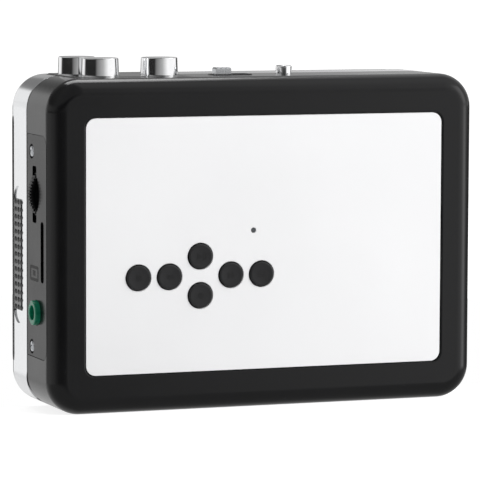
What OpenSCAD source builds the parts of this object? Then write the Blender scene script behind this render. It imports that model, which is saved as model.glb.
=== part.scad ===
// Cassette converter: a pocket tape player with a card recorder board.
// Origin at the middle of the bottom face, X right on the button panel, Y from panel to door, Z up.
// Depth is counted from the front face of the case and is called t in every module.

/* [Case] */
// Width of the case across the button panel
case_w = 112.4; // [111.5:0.1:122]
// Height of the case without the keys
case_h = 82.4; // [82:0.1:92]
// Depth from panel to the back of the door
case_d = 34; // [34:0.1:40]
// Depth of the black front shell, the rest is the door
shell_d = 19.4; // [19.2:0.1:20.4]
// Corner radius seen from the front
corner_r = 8.4; // [8:0.1:10.6]
// Rounding of the front edge
edge_r = 4.2; // [3.4:0.1:4.4]
// Rounding of the back edge of the door
back_edge_r = 3; // [1.5:0.1:3.4]
// Wall of shell and door
wall = 2; // [1.8:0.1:2.1]

/* [Button panel] */
// Black frame left and right of the light panel
panel_margin_x = 9.1; // [7.7:0.1:12]
// Black frame over and under the light panel
panel_margin_z = 9.7; // [8.2:0.1:12]
// Thickness of the light panel
panel_t = 0.6; // [0.4:0.1:0.7]
// Corner radius of the light panel
panel_r = 2.5; // [1:0.1:4]
// Diameter of the six round buttons
button_d = 6.1; // [5:0.1:6.4]
// Sideways pitch of the buttons
button_pitch = 8.06; // [8:0.01:8.4]
// Up and down offset of the middle pair
button_lift = 4.85; // [4.4:0.05:6]
// How far the buttons stand out of the panel
button_rise = 0.6; // [0.4:0.1:0.9]
// Press travel of the buttons
button_travel = 0.6; // [0.3:0.1:0.7]
// Button cross, sideways from the left edge of the panel
cross_in = 29.6; // [27:0.1:33]
// Button cross, upwards from the panel middle
cross_z = -7.8; // [-10:0.1:-5]

/* [Top controls] */
// Diameter of the three tape keys
key_d = 9.3; // [8.4:0.1:9.5]
// Height of the keys over the key deck
key_rise = 4.05; // [3.5:0.05:4.5]
// Press travel of the keys
key_travel = 3.5; // [2.5:0.1:3.5]
// Height of the raised deck around the keys
deck_rise = 0.5; // [0.3:0.1:0.8]
// Diameter of the direction button
direction_d = 4; // [3:0.1:4.6]
// Width of the mode slider
slider_w = 4.1; // [3.4:0.1:4.6]
// Travel of the mode slider
slider_travel = 4.4; // [3:0.1:4.6]

/* [Left side] */
// Diameter of the volume wheel
wheel_d = 15.6; // [14:0.1:16.4]
// Thickness of the volume wheel
wheel_t = 2.6; // [2:0.1:2.8]
// How far the wheel stands out of the side
wheel_show = 1.5; // [1:0.1:1.9]
// Outer diameter of the earphone jack
jack_d = 6.1; // [5:0.1:6.4]
// Bore of the earphone jack
jack_bore = 3.6; // [3.5:0.05:3.7]
// Length of the card slot
card_l = 15; // [13:0.1:15.6]

/* [Tape deck] */
// Distance between the two reel spindles
hub_pitch = 42.5; // [42:0.1:43]
// Distance between the two capstans
capstan_pitch = 47; // [46:0.1:48]
// Diameter of the flywheels
flywheel_d = 24; // [22.5:0.1:24.6]
// Diameter of the motor
motor_d = 21; // [18:0.1:21.6]
// Diameter of a pinch roller
roller_d = 8; // [7:0.1:8.2]
// Thickness of the spring plates at the ends of the battery bay
contact_th = 1.1; // [0.8:0.1:1.4]
// Black frame left and right of the door window
window_margin = 18.7; // [17:0.1:24]
// Height of the door window
window_h = 35; // [30:0.1:36]

/* [Fits] */
// Gap between pieces that move past each other
gap = 0.3; // [0.25:0.01:0.35]
// Radial clearance of running shafts
run = 0.06; // [0.03:0.01:0.09]

/* [Hidden] */
$fn = 48;

// Case
half_w = case_w / 2;
front_y = -case_d / 2;
door_t = shell_d + gap;
inner_top = case_h - wall;
panel_z = case_h / 2 + 0.1;
panel_w = case_w - 2 * panel_margin_x;
panel_h = case_h - 2 * panel_margin_z;
cross_x = cross_in - panel_w / 2;
panel_seat = panel_t + 0.2;

// Layers from the front wall to the cassette
board_t = wall + 3;
board_th = 1.2;
board_back = board_t + board_th;
chassis_th = 1;
chassis_t = shell_d - 2.8;
chassis_back = chassis_t + chassis_th;
deck_t = chassis_back + 0.4;
deck_face = deck_t + 1.2;
belt_t = chassis_t - 9.1;
pulley_t = chassis_t - 9.6;
pulley_back = chassis_t - 7.7;

// Tape path, hung from the top wall with room for the heads
head_room = 12.6;
tape_edge_z = inner_top - head_room;
hub_z = tape_edge_z - 34.6;
capstan_z = tape_edge_z - 8.5;
hub_x = hub_pitch / 2;
capstan_x = capstan_pitch / 2;
flywheel_r = flywheel_d / 2;
drum_r = flywheel_r - 2;
capstan_r = 1;
bush_r = 2.6;
motor_x = half_w - wall - gap - 0.2 - motor_d / 2;
motor_z = capstan_z - 17.8;
motor_pulley_r = 2;
belt_half = 0.5;
spindle_r = 2.9;
reel_table_r = 7.5;
reel_shaft_r = 1.5;
idler_pivot_z = hub_z + 18.8;
idler_z = hub_z + 2.8;
idler_r = 8;

// Heads and rollers above the cassette
head_face_z = tape_edge_z + 1.6;
head_plate_t = chassis_back + 0.1;
head_plate_th = 0.8;
pinch_pivot_x = capstan_x + 15.5;
pinch_pivot_z = capstan_z + 11.7;
roller_x = capstan_x + 1;
roller_z = pinch_pivot_z + 1.6;
roller_r = roller_d / 2;
chassis_top = inner_top - 6.4;
deck_top = inner_top - 5.6;

// Posts that carry chassis and deck plate
post_r = 3;
upper_post_x = half_w - 6.2;
upper_post_z = tape_edge_z + 3.2;
lower_post_x = half_w - 22.2;
lower_post_z = panel_z - 16.5;
socket_z = upper_post_z - 9;

// Battery bay
bay_top = panel_z - 20.4;
bay_low = wall + 1.3;
bay_h = bay_top - 1 - bay_low;
cover_low = wall + 2.3;
cover_top = bay_top - 0.2;

// Keys on the top
key_deck_low = case_h - wall - 0.2;
key_deck_top = case_h + deck_rise;
key_top = key_deck_top + key_rise;
front_row_t = 13;
back_row_t = front_row_t + 9.8;
stop_x = -half_w + 14.03;
wind_x = -half_w + 16.93;
play_x = -half_w + 32.34;
key_bore_r = key_d / 2 + 0.2;
key_bar_half = key_bore_r + 0.7;
key_deck_left = stop_x - key_bore_r - 1.2;
key_deck_right = play_x + key_bore_r + 1.5;
key_deck_front = front_row_t - key_bore_r - 2;
key_deck_back = back_row_t + key_bore_r + 1.2;
slider_x = -half_w + 48.9;
slider_top = case_h + 1.85;
direction_x = -half_w + 65.5;

// Left side
wheel_r = wheel_d / 2;
wheel_x = -half_w - wheel_show + wheel_r;
wheel_z = panel_z + 12.3;
wheel_mid_t = chassis_t - 3.2;
plate_front = 3.3;
plate_r = 3;
plate_gap = 0.2;
plate_low = panel_z - 28;
plate_high = panel_z + 27.1;
plate_th = 1.1;
screw_t = 15.7;
screw_r = 0.7;
screw_head_r = 1.4;
screw_sink_r = 1.75;
screw_high = panel_z + 22.8;
screw_low = panel_z - 25.5;
card_t = board_back + 0.95;
card_z = panel_z - 1.55;
jack_t = chassis_t - 4.8;
jack_z = panel_z - 16.75;
jack_board_t = chassis_t - 0.8;

// Door
axis_t = door_t + 2;
axis_z = 2;
pin_r = 1;
barrel_r = axis_z - 0.1;
relief_z = 9;
ear_in = half_w - 16.2;
ear_out = ear_in + 4;
latch_x0 = half_w - 38.2;
latch_x1 = half_w - 26.2;
door_inner_t = case_d - wall;
window_w = case_w - 2 * window_margin;
window_z = panel_z + 0.7;
holder_x = half_w - 4.2;
ledge_x = half_w - corner_r - 0.2;
holder_low = window_z - window_h / 2 - 2.2;
spring_x = half_w - 15.2;
grip_t = case_d - 7.3;
grip_z = panel_z - 3.75;
grip_half_t = 3.5;
grip_half_z = 14.15;
grip_rise = 0.45;
grip_end = 3.05;
dish_t = wheel_mid_t - 0.3;
dish_r = 4.8;

// Buttons: far left, left, up, down, right, far right
button_mid_z = panel_z + cross_z;
button_xs = [cross_x - 2 * button_pitch, cross_x - button_pitch, cross_x, cross_x,
    cross_x + button_pitch, cross_x + 2 * button_pitch];
button_zs = [button_mid_z, button_mid_z, button_mid_z + button_lift, button_mid_z - button_lift,
    button_mid_z, button_mid_z];
led_x = cross_x + 14;
led_z = panel_z + 3.1;
flange_t = wall + 0.05;
flange_th = 0.7;

// Outline in X and Z pulled from depth t0 to t1
module along_y(t0, t1) {
    translate([0, front_y + t1, 0]) rotate([90, 0, 0]) linear_extrude(t1 - t0) children();
}

// Outline in depth and Z pulled from x0 to x1
module along_x(x0, x1) {
    translate([x0, front_y, 0]) rotate([90, 0, 90]) linear_extrude(x1 - x0) children();
}

// Outline in X and depth pulled from z0 to z1
module along_z(z0, z1) {
    translate([0, front_y, z0]) linear_extrude(z1 - z0) children();
}

module rod_y(x, z, t0, t1, r) {
    translate([x, front_y + t1, z]) rotate([90, 0, 0]) cylinder(h = t1 - t0, r = r);
}

module rod_x(x0, x1, t, z, r) {
    translate([x0, front_y + t, z]) rotate([0, 90, 0]) cylinder(h = x1 - x0, r = r);
}

module rod_z(x, t, z0, z1, r) {
    translate([x, front_y + t, z0]) cylinder(h = z1 - z0, r = r);
}

// Cone along Y, radius r0 at t0 and r1 at t1
module cone_y(x, z, t0, t1, r0, r1) {
    translate([x, front_y + t1, z]) rotate([90, 0, 0]) cylinder(h = t1 - t0, r1 = r1, r2 = r0);
}

module block(x0, x1, t0, t1, z0, z1) {
    translate([x0, front_y + t0, z0]) cube([x1 - x0, t1 - t0, z1 - z0]);
}

module both_sides() {
    children();
    mirror([1, 0, 0]) children();
}

module round_rect(x0, x1, z0, z1, r) {
    translate([x0 + r, z0]) square([x1 - x0 - 2 * r, z1 - z0]);
    translate([x0, z0 + r]) square([x1 - x0, z1 - z0 - 2 * r]);
    for (x = [x0 + r, x1 - r])
        for (z = [z0 + r, z1 - r])
            translate([x, z]) circle(r = r);
}

// Outline of the case seen from the front, pulled in by inset
module case_outline(inset) {
    round_rect(inset - half_w, half_w - inset, inset, case_h - inset, corner_r - inset);
}

module case_band(inset, z0, z1) {
    intersection() {
        case_outline(inset);
        translate([-half_w, z0]) square([case_w, z1 - z0]);
    }
}

// Outline of the side plate in depth and Z, pulled in by inset and open at the seam
module plate_outline(inset, back) {
    intersection() {
        round_rect(plate_front + inset, back + 2 * plate_r, plate_low + inset, plate_high - inset,
            plate_r - inset);
        square([back, case_h]);
    }
}

// Block with the outline of the case, its front and back edges rounded
module soft_block(t0, t1, front_r, back_r) {
    front_arc = front_r == 0 ? [[corner_r, t0]] : [for (a = [0:15:90])
        [corner_r - front_r * (1 - sin(a)), t0 + front_r * (1 - cos(a))]];
    back_arc = back_r == 0 ? [[corner_r, t1]] : [for (a = [0:15:90])
        [corner_r - back_r * (1 - cos(a)), t1 - back_r * (1 - sin(a))]];
    hull()
        for (x = [corner_r - half_w, half_w - corner_r])
            for (z = [corner_r, case_h - corner_r])
                translate([x, front_y, z]) rotate([-90, 0, 0]) rotate_extrude($fn = 40)
                    polygon(concat([[0, t0]], front_arc, back_arc, [[0, t1]]));
}

module at_posts() {
    for (x = [-upper_post_x, upper_post_x]) translate([x, 0, upper_post_z]) children();
    for (x = [-lower_post_x, lower_post_x]) translate([x, 0, lower_post_z]) children();
}

// Black moulded front half with posts, hinge ears and the deck around the keys
module front_shell() {
    color("#2b2b2d") difference() {
        union() {
            difference() {
                soft_block(0, shell_d, edge_r, 0);
                along_y(wall, shell_d + 1) case_outline(wall);
            }
            along_z(key_deck_low, key_deck_top)
                round_rect(key_deck_left, key_deck_right, key_deck_front, key_deck_back, 2);
            along_z(inner_top, case_h + 0.25) round_rect(slider_x - slider_w / 2 - 1,
                slider_x + slider_w / 2 + slider_travel + 1, front_row_t - 2.4, front_row_t + 2.4, 0.8);
            at_posts() rod_y(0, 0, wall - 0.3, chassis_t, post_r);
            both_sides() {
                block(ear_in, ear_out, deck_t + 0.2, axis_t, 0.4, 2 * axis_z - 0.4);
                rod_x(ear_in, ear_out, axis_t, axis_z, axis_z - 0.4);
            }
        }
        along_y(-1, panel_seat) round_rect(-panel_w / 2 - 0.15, panel_w / 2 + 0.15,
            panel_z - panel_h / 2 - 0.15, panel_z + panel_h / 2 + 0.15, panel_r);
        for (i = [0:5]) rod_y(button_xs[i], button_zs[i], -1, wall + 1, button_d / 2 + 0.25);
        rod_y(led_x, led_z, -1, wall + 1, 0.65);
        at_posts() rod_y(0, 0, chassis_t - 6, chassis_t + 1, 1.05);
        rod_z(stop_x, back_row_t, inner_top - 3, key_top, key_bore_r);
        rod_z(wind_x, front_row_t, inner_top - 3, key_top, key_bore_r);
        rod_z(play_x, front_row_t, inner_top - 3, key_top, key_bore_r);
        along_z(inner_top - 2, case_h + 1) round_rect(slider_x - slider_w / 2 - 0.3,
            slider_x + slider_w / 2 + slider_travel + 0.3, front_row_t - 1.7, front_row_t + 1.7, 0.5);
        rod_z(direction_x, front_row_t, inner_top - 2, case_h + 1, direction_d / 2 + 0.2);
        along_x(-half_w - 1, -half_w + plate_th + 0.1) plate_outline(0, shell_d + 1);
        along_x(-half_w - 1, -half_w + wall + 1)
            round_rect(plate_front + 1.4, shell_d - 2.4, jack_z - 4.4, wheel_z + 7.9, 1);
        for (z = [screw_low, screw_high])
            rod_x(-half_w - 1, -half_w + wall + 1, screw_t, z, screw_r + 0.05);
        along_x(half_w - wall - 1, half_w + 1)
            round_rect(board_back - 0.4, board_back + 4.4, socket_z - 4.5, socket_z + 4.5, 0.8);
        both_sides() rod_x(ear_in - 1, ear_out + 1, axis_t, axis_z, pin_r + run);
    }
}

// Light anodised plate glued into the front
module front_panel() {
    color("#e9e9ea") difference() {
        along_y(panel_seat - panel_t, panel_seat) round_rect(-panel_w / 2, panel_w / 2,
            panel_z - panel_h / 2, panel_z + panel_h / 2, panel_r);
        for (i = [0:5]) rod_y(button_xs[i], button_zs[i], -1, wall, button_d / 2 + 0.25);
        rod_y(led_x, led_z, -1, wall, 0.65);
    }
}

// Flat plate let into the left side around wheel, card slot and jack
module side_plate() {
    color("#2f2f31") difference() {
        along_x(-half_w + 0.1, -half_w + 0.1 + plate_th - 0.05) plate_outline(plate_gap, shell_d);
        along_x(-half_w - 1, -half_w + 3)
            round_rect(wheel_mid_t - wheel_t / 2 - gap, wheel_mid_t + wheel_t / 2 + gap,
                wheel_z - wheel_r + 0.8, wheel_z + wheel_r - 0.8, 0.6);
        translate([-half_w, front_y + dish_t, wheel_z]) rotate([0, 90, 0])
            cylinder(h = 0.95, r1 = dish_r, r2 = 1.6);
        along_x(-half_w - 1, -half_w + 3)
            round_rect(card_t - 1.25, card_t + 1.25, card_z - card_l / 2, card_z + card_l / 2, 0.9);
        rod_x(-half_w - 1, -half_w + 3, jack_t, jack_z, jack_d / 2 + 0.15);
        for (z = [screw_low, screw_high]) {
            rod_x(-half_w - 1, -half_w + 3, screw_t, z, screw_r + 0.2);
            rod_x(-half_w - 1, -half_w + 0.75, screw_t, z, screw_sink_r);
        }
    }
}

// Two short screws of the side plate
module side_screws() {
    color("#c9cbce") for (z = [screw_low, screw_high]) {
        rod_x(-half_w + 0.15, -half_w + 0.75, screw_t, z, screw_head_r);
        rod_x(-half_w + 0.7, -half_w + wall + 0.05, screw_t, z, screw_r);
    }
}

// Printed circuit board behind the button panel
module main_board() {
    color("#1f6b45") difference() {
        along_y(board_t, board_back) case_band(wall + 0.6, bay_top + 0.4, case_h);
        at_posts() rod_y(0, 0, board_t - 1, board_back + 1, post_r + 0.3);
    }
}

// Six push switches on the front of the board
module tact_switches() {
    color("#3a3b40") for (i = [0:5]) {
        block(button_xs[i] - 2.6, button_xs[i] + 2.6, board_t - 1, board_t,
            button_zs[i] - 2.6, button_zs[i] + 2.6);
        rod_y(button_xs[i], button_zs[i], board_t - 1.5, board_t - 0.9, 1.6);
    }
}

// Light guide and lamp in the panel
module status_led() {
    color("#5a5d60") {
        rod_y(led_x, led_z, panel_seat - panel_t - 0.05, board_t - 1.5, 0.55);
        block(led_x - 1.3, led_x + 1.3, board_t - 1.6, board_t, led_z - 1, led_z + 1);
    }
}

// Sheet metal socket for the memory card
module card_socket() {
    color("#b9bcc0") difference() {
        block(-half_w + 1.5, -half_w + 16, board_back, board_back + 2, card_z - 7.3, card_z + 7.3);
        block(-half_w + 1, -half_w + 15.4, board_back + 0.35, board_back + 1.65,
            card_z - 6.3, card_z + 6.3);
    }
}

// Jack with a round collar that stands out of the side
module headphone_jack() {
    color("#2f7a62") difference() {
        union() {
            block(-half_w + 1.7, -half_w + 14, jack_t - 2.6, jack_board_t, jack_z - 3, jack_z + 3);
            rod_x(-half_w - 1, -half_w + 2, jack_t, jack_z, jack_d / 2);
            translate([-half_w - 1.2, front_y + jack_t, jack_z]) rotate([0, 90, 0])
                cylinder(h = 0.2, r1 = jack_d / 2 - 0.2, r2 = jack_d / 2);
        }
        rod_x(-half_w - 2, -half_w + 13, jack_t, jack_z, jack_bore / 2);
    }
}

// Small board for jack and volume control, flat on the chassis
module jack_board() {
    color("#1f6b45") along_y(jack_board_t, chassis_t)
        round_rect(-half_w + 2.8, -half_w + 17.8, jack_z - 3.2, wheel_z + 7, 1);
}

// Volume control under the wheel
module volume_pot() {
    color("#4a4d52") {
        block(wheel_x - 4.5, wheel_x + 4.5, wheel_mid_t + wheel_t / 2 + 0.3, jack_board_t,
            wheel_z - 4.5, wheel_z + 4.5);
        rod_y(wheel_x, wheel_z, wheel_mid_t - wheel_t / 2 - 0.3, jack_board_t - 0.5, 1.5);
    }
}

// Power and data socket on the right
module power_socket() {
    color("#b9bcc0") difference() {
        block(half_w - 8.4, half_w - 0.3, board_back, board_back + 4, socket_z - 3.9, socket_z + 3.9);
        block(half_w - 7.6, half_w, board_back + 0.5, board_back + 3.5, socket_z - 3.3, socket_z + 3.3);
    }
}

// Switch bodies under mode slider and direction button
module top_switches() {
    color("#3a3b40") {
        block(slider_x - 5.2, slider_x + 9.2, board_back, front_row_t + 2.2,
            inner_top - 5.2, inner_top - 1.8);
        block(direction_x - 2.4, direction_x + 3, board_back, front_row_t + 2.2,
            inner_top - 5.6, inner_top - 2.8);
    }
}

// Steel plate that carries the tape drive
module chassis() {
    color("#aeb2b6") {
        difference() {
            along_y(chassis_t, chassis_back)
                round_rect(-half_w + 3.8, half_w - 3.8, bay_top + 0.4, chassis_top, 2);
            at_posts() rod_y(0, 0, chassis_t - 1, chassis_back + 1, 1.2);
            for (x = [-capstan_x, capstan_x])
                rod_y(x, capstan_z, chassis_t - 1, chassis_back + 1, bush_r + 0.03);
            for (x = [-hub_x, hub_x])
                rod_y(x, hub_z, chassis_t - 1, chassis_back + 1, reel_shaft_r + run);
            rod_y(motor_x, motor_z, chassis_t - 1, chassis_back + 1, 3.2);
        }
        for (x = [-pinch_pivot_x, pinch_pivot_x])
            rod_y(x, pinch_pivot_z, chassis_back - 0.3, deck_face + 2.9, 1.5);
        for (x = [-12, 12]) rod_y(x, chassis_top - 3, chassis_back - 0.3, deck_t + 1, 1.2);
        rod_y(0, idler_pivot_z, chassis_t - 3.4, chassis_t + 0.3, 1.2);
    }
}

// Black cover of the deck, the floor that the cassette lies on
module deck_plate() {
    color("#1d1d1f") difference() {
        union() {
            along_y(deck_t, deck_face)
                round_rect(-half_w + 3.6, half_w - 3.6, cover_top + gap, deck_top, 2);
            at_posts() rod_y(0, 0, chassis_back, deck_t + 0.3, 2.6);
        }
        at_posts() rod_y(0, 0, chassis_t, deck_face + 1, 1.2);
        for (x = [-capstan_x, capstan_x]) rod_y(x, capstan_z, deck_t - 1, deck_face + 1, bush_r + 0.4);
        for (x = [-hub_x, hub_x]) rod_y(x, hub_z, deck_t - 1, deck_face + 1, 4.2);
        for (x = [-pinch_pivot_x, pinch_pivot_x])
            rod_y(x, pinch_pivot_z, deck_t - 1, deck_face + 1, 1.8);
        along_y(deck_t - 1, deck_face + 1)
            round_rect(-capstan_x - 9, capstan_x + 9, tape_edge_z - 3.8, deck_top + 4, 1.5);
    }
}

// Four screws through deck plate and chassis into the posts
module deck_screws() {
    color("#c9cbce") at_posts() {
        rod_y(0, 0, deck_face, deck_face + 1.1, 2.1);
        rod_y(0, 0, chassis_t - 5, deck_face + 0.2, 1);
    }
}

// Bearing bushes of the two capstans
module capstan_bushes() {
    color("#b88a3c") for (x = [-capstan_x, capstan_x]) difference() {
        union() {
            rod_y(x, capstan_z, chassis_t - 4.7, deck_face - 0.4, bush_r);
            rod_y(x, capstan_z, chassis_t - 0.8, chassis_t, bush_r + 1);
        }
        rod_y(x, capstan_z, chassis_t - 6, deck_face + 1, capstan_r + run);
    }
}

// Flat motor under the chassis
module motor() {
    color("#9a9ea3") difference() {
        union() {
            rod_y(motor_x, motor_z, chassis_t - 7.4, chassis_t, motor_d / 2);
            rod_y(motor_x, motor_z, chassis_t - 0.2, chassis_back, 3);
        }
        rod_y(motor_x, motor_z, chassis_t - 8, chassis_t - 6, 0.85);
    }
}

function turn(p, a, r) = p + r * [cos(a), sin(a)];

// Angle at which a straight run leaves wheel 1 for wheel 2, both turning counter-clockwise
function run_angle(p1, p2, r1, r2) = let (d = p2 - p1)
    atan2(d[1], d[0]) - acos((r1 - r2) / norm(d));

// Closed loop round left drum and motor pulley, led over the outside of the right drum
function belt_loop(off) = let (
        left = [-capstan_x, capstan_z],
        right = [capstan_x, capstan_z],
        drive = [motor_x, motor_z],
        lr = drum_r + gap + belt_half + off,
        rr = drum_r + gap + belt_half - off,
        dr = motor_pulley_r + gap + belt_half + off,
        low = run_angle(left, drive, lr, dr),
        up = run_angle(drive, right, dr, -rr),
        over = run_angle(right, left, -rr, lr),
        steps = 24)
    concat(
        [for (i = [0:steps]) turn(left, over + (low + 360 - over) * i / steps, lr)],
        [for (i = [0:steps]) turn(drive, low + (up - low) * i / steps, dr)],
        [for (i = [0:steps]) turn(right, up + 180 + (over - up) * i / steps, rr)]);

// Rubber belt from the motor to both flywheels
module drive_belt() {
    color("#161616") along_y(belt_t, belt_t + 1) difference() {
        polygon(belt_loop(belt_half));
        polygon(belt_loop(-belt_half));
    }
}

// Plastic box for two cells, open towards the cassette
module battery_box() {
    color("#1d1d1f") difference() {
        along_y(wall + 0.3, deck_t) case_band(wall + 0.3, 0, bay_top);
        along_y(wall + 1.3, deck_t + 1) case_band(wall + 1.3, 0, bay_top - 1);
    }
}

// Spring plates at both ends of the bay
module battery_contacts() {
    plate_x = half_w - bay_low - contact_th;
    color("#c9cbce") both_sides() {
        intersection() {
            block(plate_x, half_w, wall + 3, deck_t - 2, bay_low + 0.28 * bay_h, bay_low + 0.94 * bay_h);
            along_y(wall, deck_t) case_outline(bay_low);
        }
        translate([plate_x - 0.6, front_y + wall + 9, bay_low + 0.55 * bay_h]) rotate([0, 90, 0])
            cylinder(h = 0.8, r1 = 0.12 * bay_h, r2 = 0.2 * bay_h);
    }
}

// Lid of the battery bay on the cassette side
module battery_cover() {
    color("#232325") difference() {
        along_y(deck_t, deck_face) case_band(wall + 0.5, cover_low, cover_top);
        along_y(deck_face - 0.5, deck_face + 1)
            round_rect(-6, 6, cover_top - 4.5, cover_top - 2, 1.2);
    }
}

// Silver door, a tub with a window and side walls
module door_shell() {
    color("#d9dadc") difference() {
        union() {
            difference() {
                soft_block(door_t, case_d, 0, back_edge_r);
                along_y(door_t - 1, door_inner_t) case_outline(wall);
                along_x(-half_w - 1, half_w + 1) polygon([[door_t - 1, -1], [door_t - 1, relief_z],
                    [door_t, relief_z], [axis_t, axis_z], [axis_t, -1]]);
            }
            rod_x(corner_r - half_w + 0.2, half_w - corner_r - 0.2, axis_t, axis_z, barrel_r);
            block(latch_x0, latch_x1, shell_d - 1.6, door_t + 1.6, inner_top - 2, inner_top - 0.5);
            block(latch_x0, latch_x1, door_t + 0.2, door_t + 1.6, inner_top - 2, inner_top + 0.2);
        }
        block(key_deck_left - 0.4, key_deck_right + 0.4, shell_d - 1, key_deck_back + 0.4,
            inner_top - 1, case_h + 2);
        both_sides() {
            block(ear_in - 0.4, ear_out + 0.4, shell_d, axis_t + 2.5, -1, 2 * axis_z + 0.4);
            rod_x(ear_in - 3.2, ear_out + 1.9, axis_t, axis_z, pin_r + 0.02);
            along_x(half_w - 0.6, half_w + 1)
                round_rect(grip_t - grip_half_t - 0.1, grip_t + grip_half_t + 0.1,
                    grip_z - grip_half_z - grip_end, grip_z + grip_half_z + grip_end, grip_half_t);
        }
        along_y(door_inner_t - 1, case_d + 1) round_rect(-window_w / 2 + 1.5, window_w / 2 - 1.5,
            window_z - window_h / 2 + 1.5, window_z + window_h / 2 - 1.5, 2);
        along_y(case_d - 1.5, case_d + 1) round_rect(-window_w / 2 - 0.15, window_w / 2 + 0.15,
            window_z - window_h / 2 - 0.15, window_z + window_h / 2 + 0.15, 3);
    }
}

// Clear window let into the back of the door
module door_window() {
    color([0.7, 0.75, 0.78, 0.5]) along_y(case_d - 1.5, case_d - 0.1) round_rect(-window_w / 2,
        window_w / 2, window_z - window_h / 2, window_z + window_h / 2, 2.9);
}

// Black rails and ledge that hold the cassette in the door
module cassette_holder() {
    color("#1d1d1f") {
        both_sides() {
            block(holder_x - 1.2, holder_x, door_t + 0.8, door_inner_t, holder_low, tape_edge_z - 3);
            block(holder_x - 4.4, holder_x, door_t + 0.8, door_t + 1.8, holder_low, tape_edge_z - 3);
        }
        block(-holder_x, holder_x, door_inner_t - 1, door_inner_t, holder_low, holder_low + 1.2);
        block(-ledge_x, ledge_x, axis_t + 3.2, door_inner_t, wall, wall + 1.9);
        block(-3, 3, door_inner_t - 1, door_inner_t, wall, holder_low + 0.6);
    }
}

// Bowed leaf springs that push the cassette towards the deck
module cassette_springs() {
    color("#c9cbce") both_sides() along_x(spring_x, spring_x + 4) polygon([
        [door_inner_t, window_z - 12], [door_inner_t, window_z - 8], [door_inner_t - 1.6, window_z],
        [door_inner_t - 1.6, window_z + 5], [door_inner_t - 0.6, window_z + 11],
        [door_inner_t - 1, window_z + 11], [door_inner_t - 2, window_z + 5],
        [door_inner_t - 2, window_z], [door_inner_t - 0.4, window_z - 8],
        [door_inner_t - 0.4, window_z - 12]]);
}

// Raised finger grips on the side walls of the door
module door_grips() {
    color("#8d8f92") both_sides() along_x(half_w - 0.6, half_w + grip_rise)
        round_rect(grip_t - grip_half_t, grip_t + grip_half_t, grip_z - grip_half_z,
            grip_z + grip_half_z, 1.2);
}

// Steel pins of the door hinge
module hinge_pins() {
    color("#aeb2b6") both_sides() rod_x(ear_in - 3, ear_out + 1.7, axis_t, axis_z, pin_r);
}

// Round key cap with a bar that holds it under the top wall
module tape_key(x, t) {
    rod_z(x, t, key_deck_low - 0.4, key_top - 0.4, key_d / 2);
    translate([x, front_y + t, key_top - 0.4])
        cylinder(h = 0.4, r1 = key_d / 2, r2 = key_d / 2 - 0.4);
    block(x - key_bar_half, x + key_bar_half, t - 1.5, t + 1.5, key_deck_low - 1, key_deck_low);
}

module stop_key() {
    color("#d4d6d8") tape_key(stop_x, back_row_t);
}

module wind_key() {
    color("#d4d6d8") tape_key(wind_x, front_row_t);
}

module play_key() {
    color("#d4d6d8") tape_key(play_x, front_row_t);
}

// Sliding plate with the foot under the play key
module head_plate() {
    foot_top = key_deck_low - 1.05;
    color("#aeb2b6") {
        difference() {
            along_y(head_plate_t, head_plate_t + head_plate_th) {
                round_rect(-capstan_x - 6.5, capstan_x + 6.5, head_face_z - 0.2, head_face_z + 8, 1.2);
                translate([play_x - 2.5, head_face_z + 6]) square([5, foot_top - head_face_z - 6]);
            }
            along_y(head_plate_t - 1, head_plate_t + 2) for (x = [-12, 12]) {
                translate([x, chassis_top - 3]) circle(r = 1.35);
                translate([x, chassis_top - 3 + key_travel + 0.2]) circle(r = 1.35);
                translate([x - 1.35, chassis_top - 3]) square([2.7, key_travel + 0.2]);
            }
        }
        block(play_x - 2.5, play_x + 2.5, front_row_t - 1, head_plate_t + 0.3, foot_top - 0.9, foot_top);
    }
}

// Tape head on its bracket
module tape_head() {
    head_t = head_plate_t + head_plate_th;
    color("#c2c5c9") {
        block(-7.5, 7.5, head_t, head_t + 1, head_face_z + 1, head_face_z + 7.6);
        block(-5.6, 5.6, head_t + 0.9, door_inner_t - 1.6, head_face_z + 2, head_face_z + 7.6);
        intersection() {
            rod_y(0, head_face_z + 9, head_t + 0.9, door_inner_t - 1.6, 9);
            block(-5.6, 5.6, head_t + 0.5, door_inner_t - 1, head_face_z - 1, head_face_z + 2.2);
        }
    }
}

// Arm of a pinch roller, drawn on the right
module pinch_arm() {
    color("#aeb2b6") difference() {
        union() {
            along_y(deck_face + 0.3, deck_face + 1.3) {
                translate([pinch_pivot_x, pinch_pivot_z]) circle(r = 2.8);
                translate([roller_x, roller_z]) circle(r = 1.8);
                polygon([[pinch_pivot_x, pinch_pivot_z - 2], [pinch_pivot_x, pinch_pivot_z + 2],
                    [roller_x, roller_z + 1.4], [roller_x, roller_z - 1.4]]);
            }
            rod_y(pinch_pivot_x, pinch_pivot_z, deck_face + 0.3, deck_face + 2.6, 2.8);
            rod_y(roller_x, roller_z, deck_face + 0.6, deck_face + 9.2, 0.9);
        }
        rod_y(pinch_pivot_x, pinch_pivot_z, deck_face, deck_face + 4, 1.5 + run);
    }
}

module pinch_arm_left() {
    mirror([1, 0, 0]) pinch_arm();
}

module pinch_arm_right() {
    pinch_arm();
}

// Rubber roller, drawn on the right
module pinch_roller() {
    color("#161616") difference() {
        rod_y(roller_x, roller_z, deck_face + 1.7, deck_face + 8.4, roller_r);
        rod_y(roller_x, roller_z, deck_face + 1, deck_face + 9, 0.9 + run);
    }
}

module pinch_roller_left() {
    mirror([1, 0, 0]) pinch_roller();
}

module pinch_roller_right() {
    pinch_roller();
}

// Flywheel with belt drum and capstan in one piece
module flywheel(x) {
    color("#c2a15a") {
        rod_y(x, capstan_z, pulley_t, pulley_back + 0.2, drum_r);
        rod_y(x, capstan_z, pulley_back, chassis_t - 5.1, flywheel_r);
        rod_y(x, capstan_z, pulley_t - 0.4, deck_face + 9.4, capstan_r);
    }
}

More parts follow.
